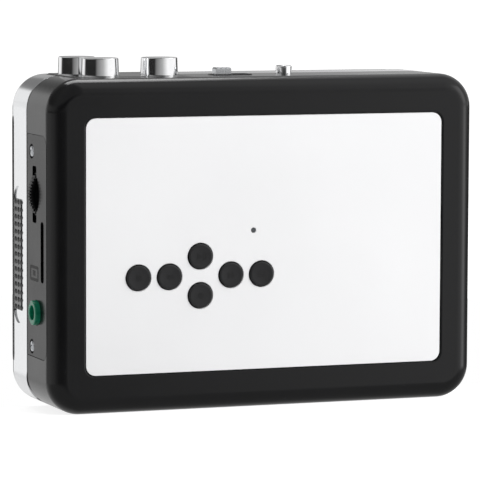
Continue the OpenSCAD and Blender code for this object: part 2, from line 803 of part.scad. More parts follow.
module flywheel_left() {
    flywheel(-capstan_x);
}

module flywheel_right() {
    flywheel(capstan_x);
}

// Pulley pressed on the motor shaft
module motor_pulley() {
    color("#b88a3c") {
        rod_y(motor_x, motor_z, pulley_t, pulley_back, motor_pulley_r);
        rod_y(motor_x, motor_z, pulley_t - 0.1, pulley_t + 0.2, motor_pulley_r + 1);
        rod_y(motor_x, motor_z, pulley_back - 0.3, chassis_t - 6.4, 0.8);
    }
}

// Reel table, shaft and finned spindle
module reel_spindle(x) {
    color("#e4e2dc") {
        rod_y(x, hub_z, chassis_t - 3.2, chassis_t - 1, reel_table_r);
        rod_y(x, hub_z, chassis_t - 1.2, deck_face + 0.6, reel_shaft_r);
        rod_y(x, hub_z, deck_face + 0.3, deck_face + 1.1, 5);
        rod_y(x, hub_z, deck_face + 1, deck_face + 8.4, spindle_r);
        cone_y(x, hub_z, deck_face + 8.4, deck_face + 9.8, spindle_r, 1.2);
        for (a = [90, 210, 330]) translate([x, 0, hub_z]) rotate([0, a, 0])
            block(spindle_r - 0.5, 4.1, deck_face + 1, deck_face + 7.8, -0.45, 0.45);
    }
}

module reel_spindle_left() {
    reel_spindle(-hub_x);
}

module reel_spindle_right() {
    reel_spindle(hub_x);
}

// Swinging arm that brings the idler to one reel table or the other
module idler_arm() {
    color("#aeb2b6") difference() {
        union() {
            along_y(chassis_t - 3.2, chassis_t - 2.2) {
                translate([0, idler_pivot_z]) circle(r = 2.6);
                translate([-1.8, idler_z]) square([3.6, idler_pivot_z - idler_z]);
                translate([0, idler_z]) circle(r = 1.8);
            }
            rod_y(0, idler_z, chassis_t - 5.4, chassis_t - 2.5, 0.9);
        }
        rod_y(0, idler_pivot_z, chassis_t - 4, chassis_t, 1.2 + run);
    }
}

// Rubber edged idler under the arm
module idler_wheel() {
    color("#202020") difference() {
        rod_y(0, idler_z, chassis_t - 5.2, chassis_t - 3.5, idler_r);
        rod_y(0, idler_z, chassis_t - 6, chassis_t - 3, 0.9 + run);
    }
}

// Ribbed knob of the mode switch
module mode_slider() {
    color("#c4c6c9") {
        difference() {
            block(slider_x - slider_w / 2, slider_x + slider_w / 2, front_row_t - 1.4, front_row_t + 1.4,
                inner_top - 0.5, slider_top);
            for (i = [-1:1]) block(slider_x + 1.2 * i - 0.3, slider_x + 1.2 * i + 0.3,
                front_row_t - 2, front_row_t + 2, slider_top - 0.4, slider_top + 1);
        }
        block(slider_x - slider_w / 2 - 2.4, slider_x + slider_w / 2 + 2.4, front_row_t - 2.2,
            front_row_t + 2.2, inner_top - 1.4, inner_top - 0.3);
    }
}

// Small round button that turns the tape direction
module direction_button() {
    color("#d4d6d8") {
        rod_z(direction_x, front_row_t, inner_top - 0.5, case_h + 1.9, direction_d / 2);
        translate([direction_x, front_row_t + front_y, case_h + 1.9])
            cylinder(h = 0.3, r1 = direction_d / 2, r2 = direction_d / 2 - 0.3);
        rod_z(direction_x, front_row_t, inner_top - 1, inner_top - 0.1, direction_d / 2 + 0.8);
    }
}

// Knurled thumb wheel
module volume_wheel() {
    teeth = 56;
    color("#262628") difference() {
        along_y(wheel_mid_t - wheel_t / 2, wheel_mid_t + wheel_t / 2) translate([wheel_x, wheel_z])
            polygon([for (i = [0:2 * teeth - 1])
                (wheel_r - (i % 2) * 0.3) * [cos(180 * i / teeth), sin(180 * i / teeth)]]);
        rod_y(wheel_x, wheel_z, wheel_mid_t - wheel_t, wheel_mid_t + wheel_t, 1.5 + run);
    }
}

// Round panel button number i with a flange behind the front wall
module panel_button(i) {
    r = button_d / 2;
    color("#2e2e30") {
        cone_y(button_xs[i], button_zs[i], panel_seat - panel_t - button_rise,
            panel_seat - panel_t - button_rise + 0.25, r - 0.25, r);
        rod_y(button_xs[i], button_zs[i], panel_seat - panel_t - button_rise + 0.25, flange_t + 0.2, r);
        rod_y(button_xs[i], button_zs[i], flange_t, flange_t + flange_th, r + 0.7);
    }
}

module button_far_left() {
    panel_button(0);
}

module button_left() {
    panel_button(1);
}

module button_up() {
    panel_button(2);
}

module button_down() {
    panel_button(3);
}

module button_right() {
    panel_button(4);
}

module button_far_right() {
    panel_button(5);
}

front_shell();
front_panel();
side_plate();
side_screws();
main_board();
tact_switches();
status_led();
card_socket();
headphone_jack();
jack_board();
volume_pot();
power_socket();
top_switches();
chassis();
deck_plate();
deck_screws();
capstan_bushes();
motor();
drive_belt();
battery_box();
battery_contacts();
battery_cover();
door_shell();
door_window();
cassette_holder();
cassette_springs();
door_grips();
hinge_pins();
stop_key();
wind_key();
play_key();
head_plate();
tape_head();
pinch_arm_left();
pinch_arm_right();
pinch_roller_left();
pinch_roller_right();
flywheel_left();
flywheel_right();
motor_pulley();
reel_spindle_left();
reel_spindle_right();
idler_arm();
idler_wheel();
mode_slider();
direction_button();
volume_wheel();
button_far_left();
button_left();
button_up();
button_down();
button_right();
button_far_right();
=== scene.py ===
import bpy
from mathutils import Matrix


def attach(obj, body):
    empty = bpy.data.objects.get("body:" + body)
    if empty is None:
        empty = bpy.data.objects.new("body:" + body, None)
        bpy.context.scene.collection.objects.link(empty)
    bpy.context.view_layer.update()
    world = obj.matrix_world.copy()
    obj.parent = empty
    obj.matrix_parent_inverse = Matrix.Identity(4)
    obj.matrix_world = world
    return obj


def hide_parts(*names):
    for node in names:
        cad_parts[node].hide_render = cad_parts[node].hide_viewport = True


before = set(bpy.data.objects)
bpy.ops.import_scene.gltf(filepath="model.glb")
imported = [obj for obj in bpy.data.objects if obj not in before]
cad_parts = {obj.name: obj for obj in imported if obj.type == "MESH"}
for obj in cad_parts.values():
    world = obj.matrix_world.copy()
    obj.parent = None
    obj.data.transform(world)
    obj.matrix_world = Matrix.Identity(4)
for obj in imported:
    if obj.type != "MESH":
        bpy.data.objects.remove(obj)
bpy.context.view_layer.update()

import math

import bmesh
import bpy
from mathutils import Matrix, Vector

# Camera: a long lens a little left of the button panel and just above the keys, tilted down
# by some five degrees and turned by a hair to follow the photograph's level.
scene = bpy.context.scene
yaw, tilt, roll = math.radians(20.689), math.radians(5.362), math.radians(0.214)
ahead = Vector((math.sin(yaw) * math.cos(tilt), math.cos(yaw) * math.cos(tilt), -math.sin(tilt)))
level = Vector((math.cos(yaw), -math.sin(yaw), 0.0))
upright = level.cross(ahead)
across = level * math.cos(roll) + upright * math.sin(roll)
upwards = upright * math.cos(roll) - level * math.sin(roll)
camera = bpy.data.objects.new("camera", bpy.data.cameras.new("camera"))
scene.collection.objects.link(camera)
SENSOR, FOCAL_PIXELS, PICTURE_PIXELS = 36.0, 3450, 480
camera.data.sensor_width = SENSOR
camera.data.lens = SENSOR * FOCAL_PIXELS / PICTURE_PIXELS
camera.data.clip_end = 50.0
stand = Matrix.Translation((-0.3072, -0.8115, 0.1218))
camera.matrix_world = stand @ Matrix((across, upwards, -ahead)).transposed().to_4x4()
scene.camera = camera
scene.view_settings.view_transform = "Standard"


# Studio: a sheet of white paper under the object and a room of pale and dark screens round
# it, which the chrome and the black gloss mirror: dark at the camera, pale to its right. The
# sheet is cut out behind the hinge, because the open door reaches below the bottom edge.
def tone(code):
    """sRGB hex colour as linear red, green, blue and alpha."""
    parts = [int(code[i:i + 2], 16) / 255 for i in (1, 3, 5)]
    return [c / 12.92 if c <= 0.04045 else ((c + 0.055) / 1.055) ** 2.4 for c in parts] + [1.0]


def add(tree, kind, inputs=None, **settings):
    """Adds a node; each input, by name or number, is a socket to link or a constant. The
    setting stops gives a colour ramp its places and colours."""
    node = tree.nodes.new(kind)
    if "stops" in settings:
        for place, colour in settings.pop("stops"):
            node.color_ramp.elements.new(place).color = colour
        for end in (0, -1):
            node.color_ramp.elements.remove(node.color_ramp.elements[end])
    for key, value in settings.items():
        setattr(node, key, value)
    for key, value in (inputs or {}).items():
        if isinstance(value, bpy.types.NodeSocket):
            tree.links.new(value, node.inputs[key])
        else:
            node.inputs[key].default_value = value
    return node


def grey(value):
    return [value, value, value, 1.0]


scene.world = bpy.data.worlds.new("studio_room")
scene.world.use_nodes = True
room = scene.world.node_tree
room.nodes.clear()
way = add(room, "ShaderNodeSeparateXYZ", {"Vector": add(room, "ShaderNodeTexCoord").outputs["Generated"]})
to_front = add(room, "ShaderNodeMath", {0: way.outputs["Y"], 1: -1.0}, operation="MULTIPLY")
bearing = add(room, "ShaderNodeMath", {0: way.outputs["X"], 1: to_front.outputs[0]}, operation="ARCTAN2")
turned_share = add(room, "ShaderNodeMapRange", {
    "Value": bearing.outputs[0], "From Min": -math.pi, "From Max": math.pi, "To Min": 0.0, "To Max": 1.0})


def screens(*shades):
    """Ring of pale and dark screens, each a bearing in degrees, 0 at the camera's side, and a shade."""
    return add(room, "ShaderNodeValToRGB", {"Fac": turned_share.outputs["Result"]}, stops=[
        ((180 + degrees) / 360, grey(value)) for degrees, value in shades]).outputs["Color"]


low_ring = screens(
    (-179, 0.14), (-169, 0.14), (-164.5, 0.95), (-155, 1.0), (-146, 0.7), (-135, 0.5), (-105, 0.95),
    (-71, 0.72), (-56, 0.36), (-42, 0.12), (-28, 0.03), (0, 0.02), (10, 0.09), (18, 0.36), (24, 1.0),
    (32, 1.1), (48, 1.4), (57, 2.6), (70, 2.8), (81, 0.9), (94, 0.15), (121, 0.08), (150, 0.06),
    (158, 0.06))
key_ring = screens(
    (-179, 0.88), (-134, 0.88), (-120, 0.02), (-48, 0.02), (-34, 0.2), (2, 0.44), (36, 1.0), (108, 1.0),
    (117, 0.06), (143, 0.06), (150, 0.5), (160, 0.4), (176, 0.72))
left_side = (
    (-146, 0.9), (-135, 0.5), (-105, 0.7), (-71, 0.56), (-56, 0.34), (-42, 0.12), (-28, 0.03), (0, 0.03))
top_ring = screens(
    (-179, 0.8), *left_side, (10, 0.14), (18, 0.4), (24, 0.75), (32, 0.8), (48, 1.2), (57, 2.3),
    (72, 2.5), (82, 0.8), (100, 0.6), (130, 0.6), (150, 1.0), (156, 0.82), (159.5, 0.49), (163, 0.22),
    (170, 0.2))
wall_ring = screens(
    (-179, 0.9), *left_side, (10, 0.16), (18, 0.42), (24, 0.78), (32, 0.85), (48, 1.2), (57, 2.3),
    (72, 2.5), (82, 0.8), (100, 0.5), (130, 0.6), (150, 0.6), (162, 0.4), (170, 0.4))
upper_ring = screens(
    (-179, 0.2), (-120, 0.2), (-60, 0.4), (0, 0.3), (18, 0.32), (20, 0.55), (25, 0.95), (40, 1.0),
    (54, 2.2), (74, 2.4), (84, 0.6), (110, 0.6), (130, 0.7), (150, 0.6), (160, 0.28), (168, 0.2))
ceiling = screens(
    (-179, 0.22), (-120, 0.24), (-60, 0.4), (0, 0.3), (20, 0.36), (25, 0.62), (30, 0.98), (60, 1.0),
    (110, 0.6), (130, 0.8), (160, 0.8), (168, 0.3))


def share(low, high):
    """Share of the way up from one height to another, 0 to 1."""
    return add(room, "ShaderNodeMapRange", {
        "Value": way.outputs["Z"], "From Min": low, "From Max": high, "To Min": 0.0, "To Max": 1.0},
        interpolation_type="SMOOTHSTEP").outputs["Result"]


lit = screens((-179, 0.8), (-140, 0.78), (-100, 0.5), (0, 0.4), (100, 0.4), (150, 0.6), (176, 0.8))
for low, high, shade in ((-0.24, -0.15, low_ring), (-0.034, -0.018, key_ring), (0.03, 0.04, top_ring),
                         (0.06, 0.09, wall_ring), (0.25, 0.28, upper_ring), (0.48, 0.6, ceiling)):
    lit = add(room, "ShaderNodeMix", {0: share(low, high), 6: lit, 7: shade}, data_type="RGBA").outputs[2]
rays = add(room, "ShaderNodeLightPath")
seen = add(room, "ShaderNodeMath", {
    0: rays.outputs["Is Camera Ray"], 1: rays.outputs["Is Transmission Ray"]}, operation="MAXIMUM")
seen_or_lit = add(room, "ShaderNodeMix", {0: seen.outputs[0], 6: lit, 7: grey(1.0)}, data_type="RGBA")
glow = add(room, "ShaderNodeBackground", {"Color": seen_or_lit.outputs[2], "Strength": 1.0})
add(room, "ShaderNodeOutputWorld", {"Surface": glow.outputs["Background"]})

paper = bpy.data.materials.new("studio_paper")
paper.use_nodes = True
tree = paper.node_tree
tree.nodes.clear()
rays = add(tree, "ShaderNodeLightPath")
direct = add(tree, "ShaderNodeMath", {
    0: rays.outputs["Is Camera Ray"], 1: rays.outputs["Is Transmission Ray"]}, operation="MAXIMUM")
lift = add(tree, "ShaderNodeMath", {0: direct.outputs[0], 1: 0.84}, operation="MULTIPLY")
sheet = add(tree, "ShaderNodeBsdfDiffuse", {"Color": tone("#b4b4b4")})
shine = add(tree, "ShaderNodeEmission", {"Color": grey(1.0), "Strength": lift.outputs[0]})
both = add(tree, "ShaderNodeAddShader", {0: sheet.outputs[0], 1: shine.outputs[0]})
mirrored = add(tree, "ShaderNodeBsdfTransparent")
sheet_or_room = add(tree, "ShaderNodeMixShader", {
    0: rays.outputs["Is Glossy Ray"], 1: both.outputs[0], 2: mirrored.outputs[0]})
add(tree, "ShaderNodeOutputMaterial", {"Surface": sheet_or_room.outputs[0]})
floor_mesh = bpy.data.meshes.new("studio_floor")
SHEET, CUT_OUT = (-9.0, 9.0, -9.0, 9.0), (-0.15, 0.15, 0.0042, 0.25)
corners = [corner for x0, x1, y0, y1 in (SHEET, CUT_OUT)
           for corner in ((x0, y0, 0.0), (x1, y0, 0.0), (x1, y1, 0.0), (x0, y1, 0.0))]
floor_mesh.from_pydata(corners, [], [(i, (i + 1) % 4, (i + 1) % 4 + 4, i + 4) for i in range(4)])
floor_mesh.materials.append(paper)
floor = bpy.data.objects.new("studio_floor", floor_mesh)
scene.collection.objects.link(floor)

LAMP_AIM = Vector((0.0, 0.0, 0.04))
for name, place, power, wide, deep, mirrored_too in (
        ("softbox_right", (0.55, -0.75, 0.38), 9.2, 0.4, 0.4, False),
        ("softbox_over", (0.06, 0.38, 0.87), 3.5, 0.5, 0.45, True)):
    lamp = bpy.data.lights.new(name, "AREA")
    lamp.energy = power
    lamp.shape = "RECTANGLE"
    lamp.size = wide
    lamp.size_y = deep
    box = bpy.data.objects.new(name, lamp)
    box.visible_glossy = mirrored_too
    scene.collection.objects.link(box)
    box.location = place
    box.rotation_euler = (LAMP_AIM - box.location).to_track_quat("-Z", "Y").to_euler()


# Front shell: the black front half of the case, moulded in ABS in one shot with posts,
# hinge ears and the raised deck around the keys. All the rest is fixed to it. Sizes in
# millimetres, with the depth t counted from the front face.
MM = 0.001
ORIGIN_T = 17.0


def front(x, z, t):
    """Place of a point of an outline that faces the front."""
    return (x, t - ORIGIN_T, z)


def top(x, t, z):
    """Place of a point of an outline that faces the top."""
    return (x, t - ORIGIN_T, z)


def side(t, z, x):
    """Place of a point of an outline that faces a side."""
    return (x, t - ORIGIN_T, z)


def outline(u0, u1, v0, v1, r, steps=10):
    """Rounded rectangle as points, with the same count for every size."""
    corners = ((u1 - r, v0 + r, -90), (u1 - r, v1 - r, 0), (u0 + r, v1 - r, 90), (u0 + r, v0 + r, 180))
    angles = [90 * i / steps for i in range(steps + 1)]
    return [(u + r * math.cos(math.radians(start + a)), v + r * math.sin(math.radians(start + a)))
            for u, v, start in corners for a in angles]


def circle(u, v, r, steps=48):
    turns = [2 * math.pi * i / steps for i in range(steps)]
    return [(u + r * math.cos(a), v + r * math.sin(a)) for a in turns]


def stack(place, levels, ring=False):
    """Skin over outlines at rising heights, capped at both ends or closed into a ring."""
    count = len(levels[0][0])
    verts = [place(u, v, h) for points, h in levels for u, v in points]
    rows = len(levels) if ring else len(levels) - 1
    faces = [(k * count + i, k * count + (i + 1) % count,
              (k + 1) % len(levels) * count + (i + 1) % count, (k + 1) % len(levels) * count + i)
             for k in range(rows) for i in range(count)]
    if not ring:
        faces += [tuple(range(count)), tuple(range(len(verts) - count, len(verts)))]
    return verts, faces


def lathe(place, u, v, profile, steps=48, ring=False):
    """Turned shape about the line through u, v from radius and height pairs."""
    return stack(place, [(circle(u, v, max(r, 1e-5), steps), h) for r, h in profile], ring)


def prism(place, points, h0, h1):
    """Straight shape with the same outline from one height to another."""
    return stack(place, [(points, h0), (points, h1)])


def slab(place, u0, u1, v0, v1, h0, h1, r, ease):
    """Rounded plate with eased edges on both faces."""
    def pulled(inset):
        return outline(u0 + inset, u1 - inset, v0 + inset, v1 - inset, max(r - inset, 0.02), 6)
    soft = ease * 0.3
    return stack(place, [(pulled(ease), h0), (pulled(soft), h0 + soft), (pulled(0), h0 + ease),
                         (pulled(0), h1 - ease), (pulled(soft), h1 - soft), (pulled(ease), h1)])


def mesh_of(name, *shapes):
    """One mesh in metres from shapes in millimetres, merged and turned outwards."""
    shaped = bmesh.new()
    for verts, faces in shapes:
        made = [shaped.verts.new([c * MM for c in v]) for v in verts]
        for face in faces:
            shaped.faces.new([made[i] for i in face])
    bmesh.ops.remove_doubles(shaped, verts=shaped.verts, dist=2e-7)
    bmesh.ops.recalc_face_normals(shaped, faces=shaped.faces)
    mesh = bpy.data.meshes.new(name)
    shaped.to_mesh(mesh)
    shaped.free()
    return mesh


def shown(mesh, finisher):
    """The mesh with one modifier, set by finisher, made final."""
    holder = bpy.data.objects.new("in_work", mesh)
    scene.collection.objects.link(holder)
    finisher(holder)
    bpy.context.view_layer.update()
    done = bpy.data.meshes.new_from_object(holder.evaluated_get(bpy.context.evaluated_depsgraph_get()))
    bpy.data.objects.remove(holder)
    return done


def carve(mesh, tool, operation="DIFFERENCE"):
    """The mesh cut by, or joined with, another."""
    cutter = bpy.data.objects.new("cutter", tool)
    scene.collection.objects.link(cutter)

    def cut(holder):
        modifier = holder.modifiers.new("carve", "BOOLEAN")
        modifier.operation = operation
        modifier.solver = "EXACT"
        modifier.object = cutter
    done = shown(mesh, cut)
    bpy.data.objects.remove(cutter)
    return done


def merged(name, *meshes):
    """Several meshes as one."""
    shaped = bmesh.new()
    for mesh in meshes:
        shaped.from_mesh(mesh)
    whole = bpy.data.meshes.new(name)
    shaped.to_mesh(whole)
    shaped.free()
    return whole


def piece(name, mesh, material, body, nodes=(), sharp=32):
    """A finished piece: smooth but for its sharp edges, flat where its large faces are
    flat, riding on a body."""
    def weigh(holder):
        holder.modifiers.new("weigh", "WEIGHTED_NORMAL").keep_sharp = True
    mesh.polygons.foreach_set("use_smooth", [True] * len(mesh.polygons))
    mesh.set_sharp_from_angle(angle=math.radians(sharp))
    mesh = shown(mesh, weigh)
    mesh.materials.clear()
    mesh.materials.append(material)
    made = bpy.data.objects.new(name, mesh)
    scene.collection.objects.link(made)
    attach(made, body)
    if nodes:
        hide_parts(*nodes)
    return made


def start_finish(name):
    """A material with its shader and the place on the piece in metres."""
    material = bpy.data.materials.new(name)
    material.use_nodes = True
    material.node_tree.nodes.clear()
    shader = add(material.node_tree, "ShaderNodeBsdfPrincipled")
    add(material.node_tree, "ShaderNodeOutputMaterial", {"Surface": shader.outputs["BSDF"]})
    where = add(material.node_tree, "ShaderNodeTexCoord").outputs["Object"]
    return material, material.node_tree, shader, where


def moulded(name, deep, pale, smooth, rough, grain, relief, cloud=14.0, ior=1.4):
    """Moulded plastic: two close tones in soft clouds, and the spark-eroded grain of its
    mould, grain and cloud in millimetres, which breaks the gloss up."""
    material, tree, shader, where = start_finish(name)
    clouds = add(tree, "ShaderNodeTexNoise", {"Vector": where, "Scale": 1000 / cloud, "Detail": 3.0})
    tint = add(tree, "ShaderNodeValToRGB", {"Fac": clouds.outputs["Fac"]}, stops=[
        (0.3, tone(deep)), (0.7, tone(pale))])
    tree.links.new(tint.outputs["Color"], shader.inputs["Base Color"])
    gloss = add(tree, "ShaderNodeMapRange", {
        "Value": clouds.outputs["Fac"], "From Min": 0.3, "From Max": 0.7, "To Min": smooth, "To Max": rough})
    tree.links.new(gloss.outputs["Result"], shader.inputs["Roughness"])
    pores = add(tree, "ShaderNodeTexNoise", {"Vector": where, "Scale": 1000 / grain, "Detail": 2.0})
    bump = add(tree, "ShaderNodeBump", {
        "Height": pores.outputs["Fac"], "Strength": relief, "Distance": 0.00004})
    tree.links.new(bump.outputs["Normal"], shader.inputs["Normal"])
    shader.inputs["IOR"].default_value = ior
    return material


# Satin black ABS: near black with a soft sheen, the mould's 0.15 mm grain drawn at 0.4 mm
# so that it still shows.
black_abs = moulded("satin_black_abs", "#0c0c0d", "#0f0f10", 0.16, 0.2, 0.4, 0.04)

HALF_W, CASE_H, SHELL_D = 56.2, 82.4, 19.4
WALL, EDGE_R, CORNER_R = 2.0, 4.2, 8.4
KEYS = {"stop": (-42.17, 22.8), "wind": (-39.27, 13.0), "play": (-23.86, 13.0)}
KEY_R, KEY_BORE_R = 4.65, 4.85
DECK = (KEYS["stop"][0] - KEY_BORE_R - 1.2, KEYS["play"][0] + KEY_BORE_R + 1.5, 6.15, 28.85)
SLIDER_X, DIRECTION_X, ROW_T = -7.3, 9.3, 13.0
JACK_T, JACK_Z, WHEEL_T, WHEEL_Z = 11.8, 24.55, 13.4, 53.6
SIDE_SCREWS = ((15.7, 15.8), (15.7, 64.1))
BUTTONS = {"far_left": (-33.62, 33.5), "left": (-25.56, 33.5), "up": (-17.5, 38.35),
           "down": (-17.5, 28.65), "right": (-9.44, 33.5), "far_right": (-1.38, 33.5)}
LAMP = (-3.5, 44.4)
BUTTON_BORE_R, LAMP_BORE_R = 3.3, 0.65
POSTS = ((-50.0, 71.0), (50.0, 71.0), (-34.0, 24.8), (34.0, 24.8))
HINGE_T, HINGE_Z = 21.7, 2.0


def case_outline(inset):
    return outline(inset - HALF_W, HALF_W - inset, inset, CASE_H - inset, CORNER_R - inset, 16)


def panel_opening(grow):
    return outline(-47.37 - grow, 47.4 + grow, 9.53 - grow, 73.02 + grow, 2.6 + grow, 16)


levels = [(panel_opening(grow), t) for grow, t in (
    (0.0, 0.8), (0.0, 0.14), (0.05, 0.05), (0.16, 0.0), (0.3, 0.0), (0.7, 0.0))]
levels += [(case_outline(EDGE_R + inset), 0.0) for inset in (0.4, 0.15)]
for i in range(17):
    a = math.radians(90 * i / 16)
    levels.append((case_outline(EDGE_R * (1 - math.sin(a))), EDGE_R * (1 - math.cos(a))))
levels += [(case_outline(inset), t) for inset, t in (
    (0.0, EDGE_R + 0.2), (0.0, SHELL_D - 0.3), (0.07, SHELL_D - 0.09), (0.25, SHELL_D),
    (WALL - 0.15, SHELL_D), (WALL, SHELL_D - 0.15), (WALL, WALL))]
tub = mesh_of("tub", stack(front, levels))
key_deck = mesh_of("key_deck", stack(top, [
    (outline(DECK[0] + 0.3 * e, DECK[1] - 2.2 * e, DECK[2] + 1.6 * e, DECK[3] - 0.3 * e, 2.0 - e, 8), z)
    for e, z in ((-1.0, 80.2), (-1.0, 82.36), (-0.8, 82.4), (-0.5, 82.45), (-0.1, 82.53), (0.3, 82.6),
                 (0.6, 82.64), (0.9, 82.65))]))
slot_rim = mesh_of("slot_rim", stack(top, [
    (outline(SLIDER_X - 3.05 + e, SLIDER_X + 7.45 - e, ROW_T - 2.4 + e, ROW_T + 2.4 - e, 0.8 - e, 6), z)
    for e, z in ((0.0, 80.6), (0.0, 82.5), (0.05, 82.6), (0.15, 82.65))]))
key_bore = [(KEY_BORE_R + grow, z) for grow, z in ((0.0, 77.0), (0.0, 82.5), (0.1, 82.64), (0.3, 84.0))]
holes = [lathe(top, x, t, key_bore) for x, t in KEYS.values()]
holes += [prism(front, circle(x, z, BUTTON_BORE_R), -1.0, 3.0) for x, z in BUTTONS.values()]
slider_slot = outline(SLIDER_X - 2.35, SLIDER_X + 6.75, ROW_T - 1.7, ROW_T + 1.7, 0.5, 4)
plate_pocket = outline(3.3, 30.0, 13.3, 68.4, 3.0, 8)
plate_window = outline(4.7, 17.0, JACK_Z - 4.4, WHEEL_Z + 7.9, 1.0, 4)
socket_opening = outline(5.8, 10.6, 57.5, 66.5, 0.8, 6)
holes += [prism(front, circle(*LAMP, LAMP_BORE_R, 24), -1.0, 3.0),
          prism(top, circle(DIRECTION_X, ROW_T, 2.2), 78.0, 84.0),
          prism(top, slider_slot, 78.0, 84.0),
          prism(side, plate_pocket, -58.0, -55.0),
          prism(side, plate_window, -55.5, -53.0),
          prism(side, socket_opening, 53.0, 58.0)]
shell_mesh = carve(carve(tub, key_deck, "UNION"), slot_rim, "UNION")
for hole in holes:
    shell_mesh = carve(shell_mesh, mesh_of("hole", hole))
posts = [lathe(front, x, z, [(1.05, 10.6), (1.05, 16.6), (3.0, 16.6), (3.0, 1.9), (1.05, 1.9)], 32, True)
         for x, z in POSTS]
EAR_R, EAR_ROOT_T = 1.6, 18.2
turns = [math.radians(10 * i) for i in range(19)]
ear = [(HINGE_T + EAR_R * math.sin(a), HINGE_Z - EAR_R * math.cos(a)) for a in turns]
ear = [(EAR_ROOT_T, HINGE_Z - EAR_R)] + ear + [(EAR_ROOT_T, HINGE_Z + EAR_R)]
ears = [prism(side, ear, x0, x1) for x0, x1 in ((-44.0, -40.0), (40.0, 44.0))]
shell_mesh = merged("front_shell", shell_mesh, mesh_of("ribs", *posts, *ears))
shell = piece("shell_front", shell_mesh, black_abs, "case", ["front_shell"], 25)


# Button panel: a thin sheet of aluminium, bead blasted and anodised nearly white, its
# edges and holes cut with a fine chamfer, glued into the seat of the front shell.
def eased_edges(mesh, width, angle=40, steps=2):
    """The mesh with its sharp edges broken, width in millimetres."""
    def bevel(holder):
        modifier = holder.modifiers.new("ease", "BEVEL")
        modifier.width = width * MM
        modifier.segments = steps
        modifier.limit_method = "ANGLE"
        modifier.angle_limit = math.radians(angle)
        modifier.miter_outer = "MITER_ARC"
    return shown(mesh, bevel)


def carried(node):
    """A merged copy of a CAD node's mesh, its flat faces whole again."""
    shaped = bmesh.new()
    shaped.from_mesh(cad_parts[node].data)
    bmesh.ops.remove_doubles(shaped, verts=shaped.verts, dist=2e-6)
    bmesh.ops.dissolve_limit(shaped, angle_limit=math.radians(0.5), verts=shaped.verts, edges=shaped.edges)
    mesh = bpy.data.meshes.new(node)
    shaped.to_mesh(mesh)
    shaped.free()
    if "custom_normal" in mesh.attributes:
        mesh.attributes.remove(mesh.attributes["custom_normal"])
    return mesh


# Bead-blasted anodised aluminium: pale silver white, a fine even sparkle from the 0.1 mm
# dimples, drawn at 0.35 mm so that it shows.
blasted_alu, tree, shader, where = start_finish("blasted_anodised_aluminium")
blast = add(tree, "ShaderNodeTexNoise", {"Vector": where, "Scale": 1000 / 0.35, "Detail": 3.0})
drift = add(tree, "ShaderNodeTexNoise", {"Vector": where, "Scale": 1000 / 40, "Detail": 2.0})
tint = add(tree, "ShaderNodeValToRGB", {"Fac": drift.outputs["Fac"]}, stops=[
    (0.3, tone("#ebebec")), (0.7, tone("#efeff0"))])
tree.links.new(tint.outputs["Color"], shader.inputs["Base Color"])
matt = add(tree, "ShaderNodeMapRange", {
    "Value": blast.outputs["Fac"], "From Min": 0.3, "From Max": 0.7, "To Min": 0.42, "To Max": 0.56})
tree.links.new(matt.outputs["Result"], shader.inputs["Roughness"])
dimples = add(tree, "ShaderNodeBump", {"Height": blast.outputs["Fac"], "Strength": 0.08, "Distance": 0.00003})
tree.links.new(dimples.outputs["Normal"], shader.inputs["Normal"])
shader.inputs["Metallic"].default_value = 0.25

panel_mesh = mesh_of("panel", stack(front, [
    (outline(-47.1 + e, 47.1 - e, 9.8 + e, 72.8 - e, 2.5 - e, 16), t)
    for e, t in ((0.1, 0.2), (0.03, 0.23), (0.0, 0.3), (0.0, 0.8))]))
panel_holes = [lathe(front, x, z, [(BUTTON_BORE_R + grow, t) for grow, t in (
    (0.12, 0.1), (0.12, 0.2), (0.0, 0.32), (0.0, 1.0))]) for x, z in BUTTONS.values()]
panel_holes.append(lathe(front, *LAMP, [(LAMP_BORE_R + grow, t) for grow, t in (
    (0.07, 0.1), (0.07, 0.2), (0.0, 0.27), (0.0, 1.0))], 24))
panel_mesh = carve(panel_mesh, mesh_of("panel_holes", *panel_holes))
panel = piece("button_panel", panel_mesh, blasted_alu, "case", ["front_panel"])


# Side plate: a flat black ABS moulding let into the left wall, with a thumb dish round
# the volume wheel and openings for card and jack. A small card picture is printed on it.
plate_abs = moulded("smooth_black_abs", "#0b0b0c", "#0e0e0f", 0.22, 0.27, 0.3, 0.04, 14.0, 1.35)


def plate_outline(inset):
    """Rounded at the front, cut off square at the seam."""
    return [(min(t, SHELL_D - inset), z) for t, z in outline(
        3.75 + inset, 30.0, 13.34 + inset, 68.3 - inset, 2.8 - inset, 10)]


PLATE_X, SEAT_X, THROUGH = -56.1, -55.45, (-58.0, -53.0)
plate_mesh = mesh_of("plate", stack(side, [
    (plate_outline(e), x) for e, x in ((0.14, PLATE_X), (0.04, -56.06), (0.0, -55.96), (0.0, -55.05))]))
DISH_T, DISH_R, DISH_DEEP, DISH_SQUEEZE = WHEEL_T - 0.3, 4.8, 0.4, 0.74
ball_r = (DISH_R ** 2 + DISH_DEEP ** 2) / (2 * DISH_DEEP)
turns = [math.radians(1.5 * i) for i in range(11)]
bowl = [(ball_r * math.sin(a), PLATE_X + DISH_DEEP - ball_r + ball_r * math.cos(a)) for a in turns]


def oval(t, z, x):
    """Place on the left side, drawn in from front and back towards the middle of the dish."""
    return side(DISH_T + DISH_SQUEEZE * (t - DISH_T), z, x)


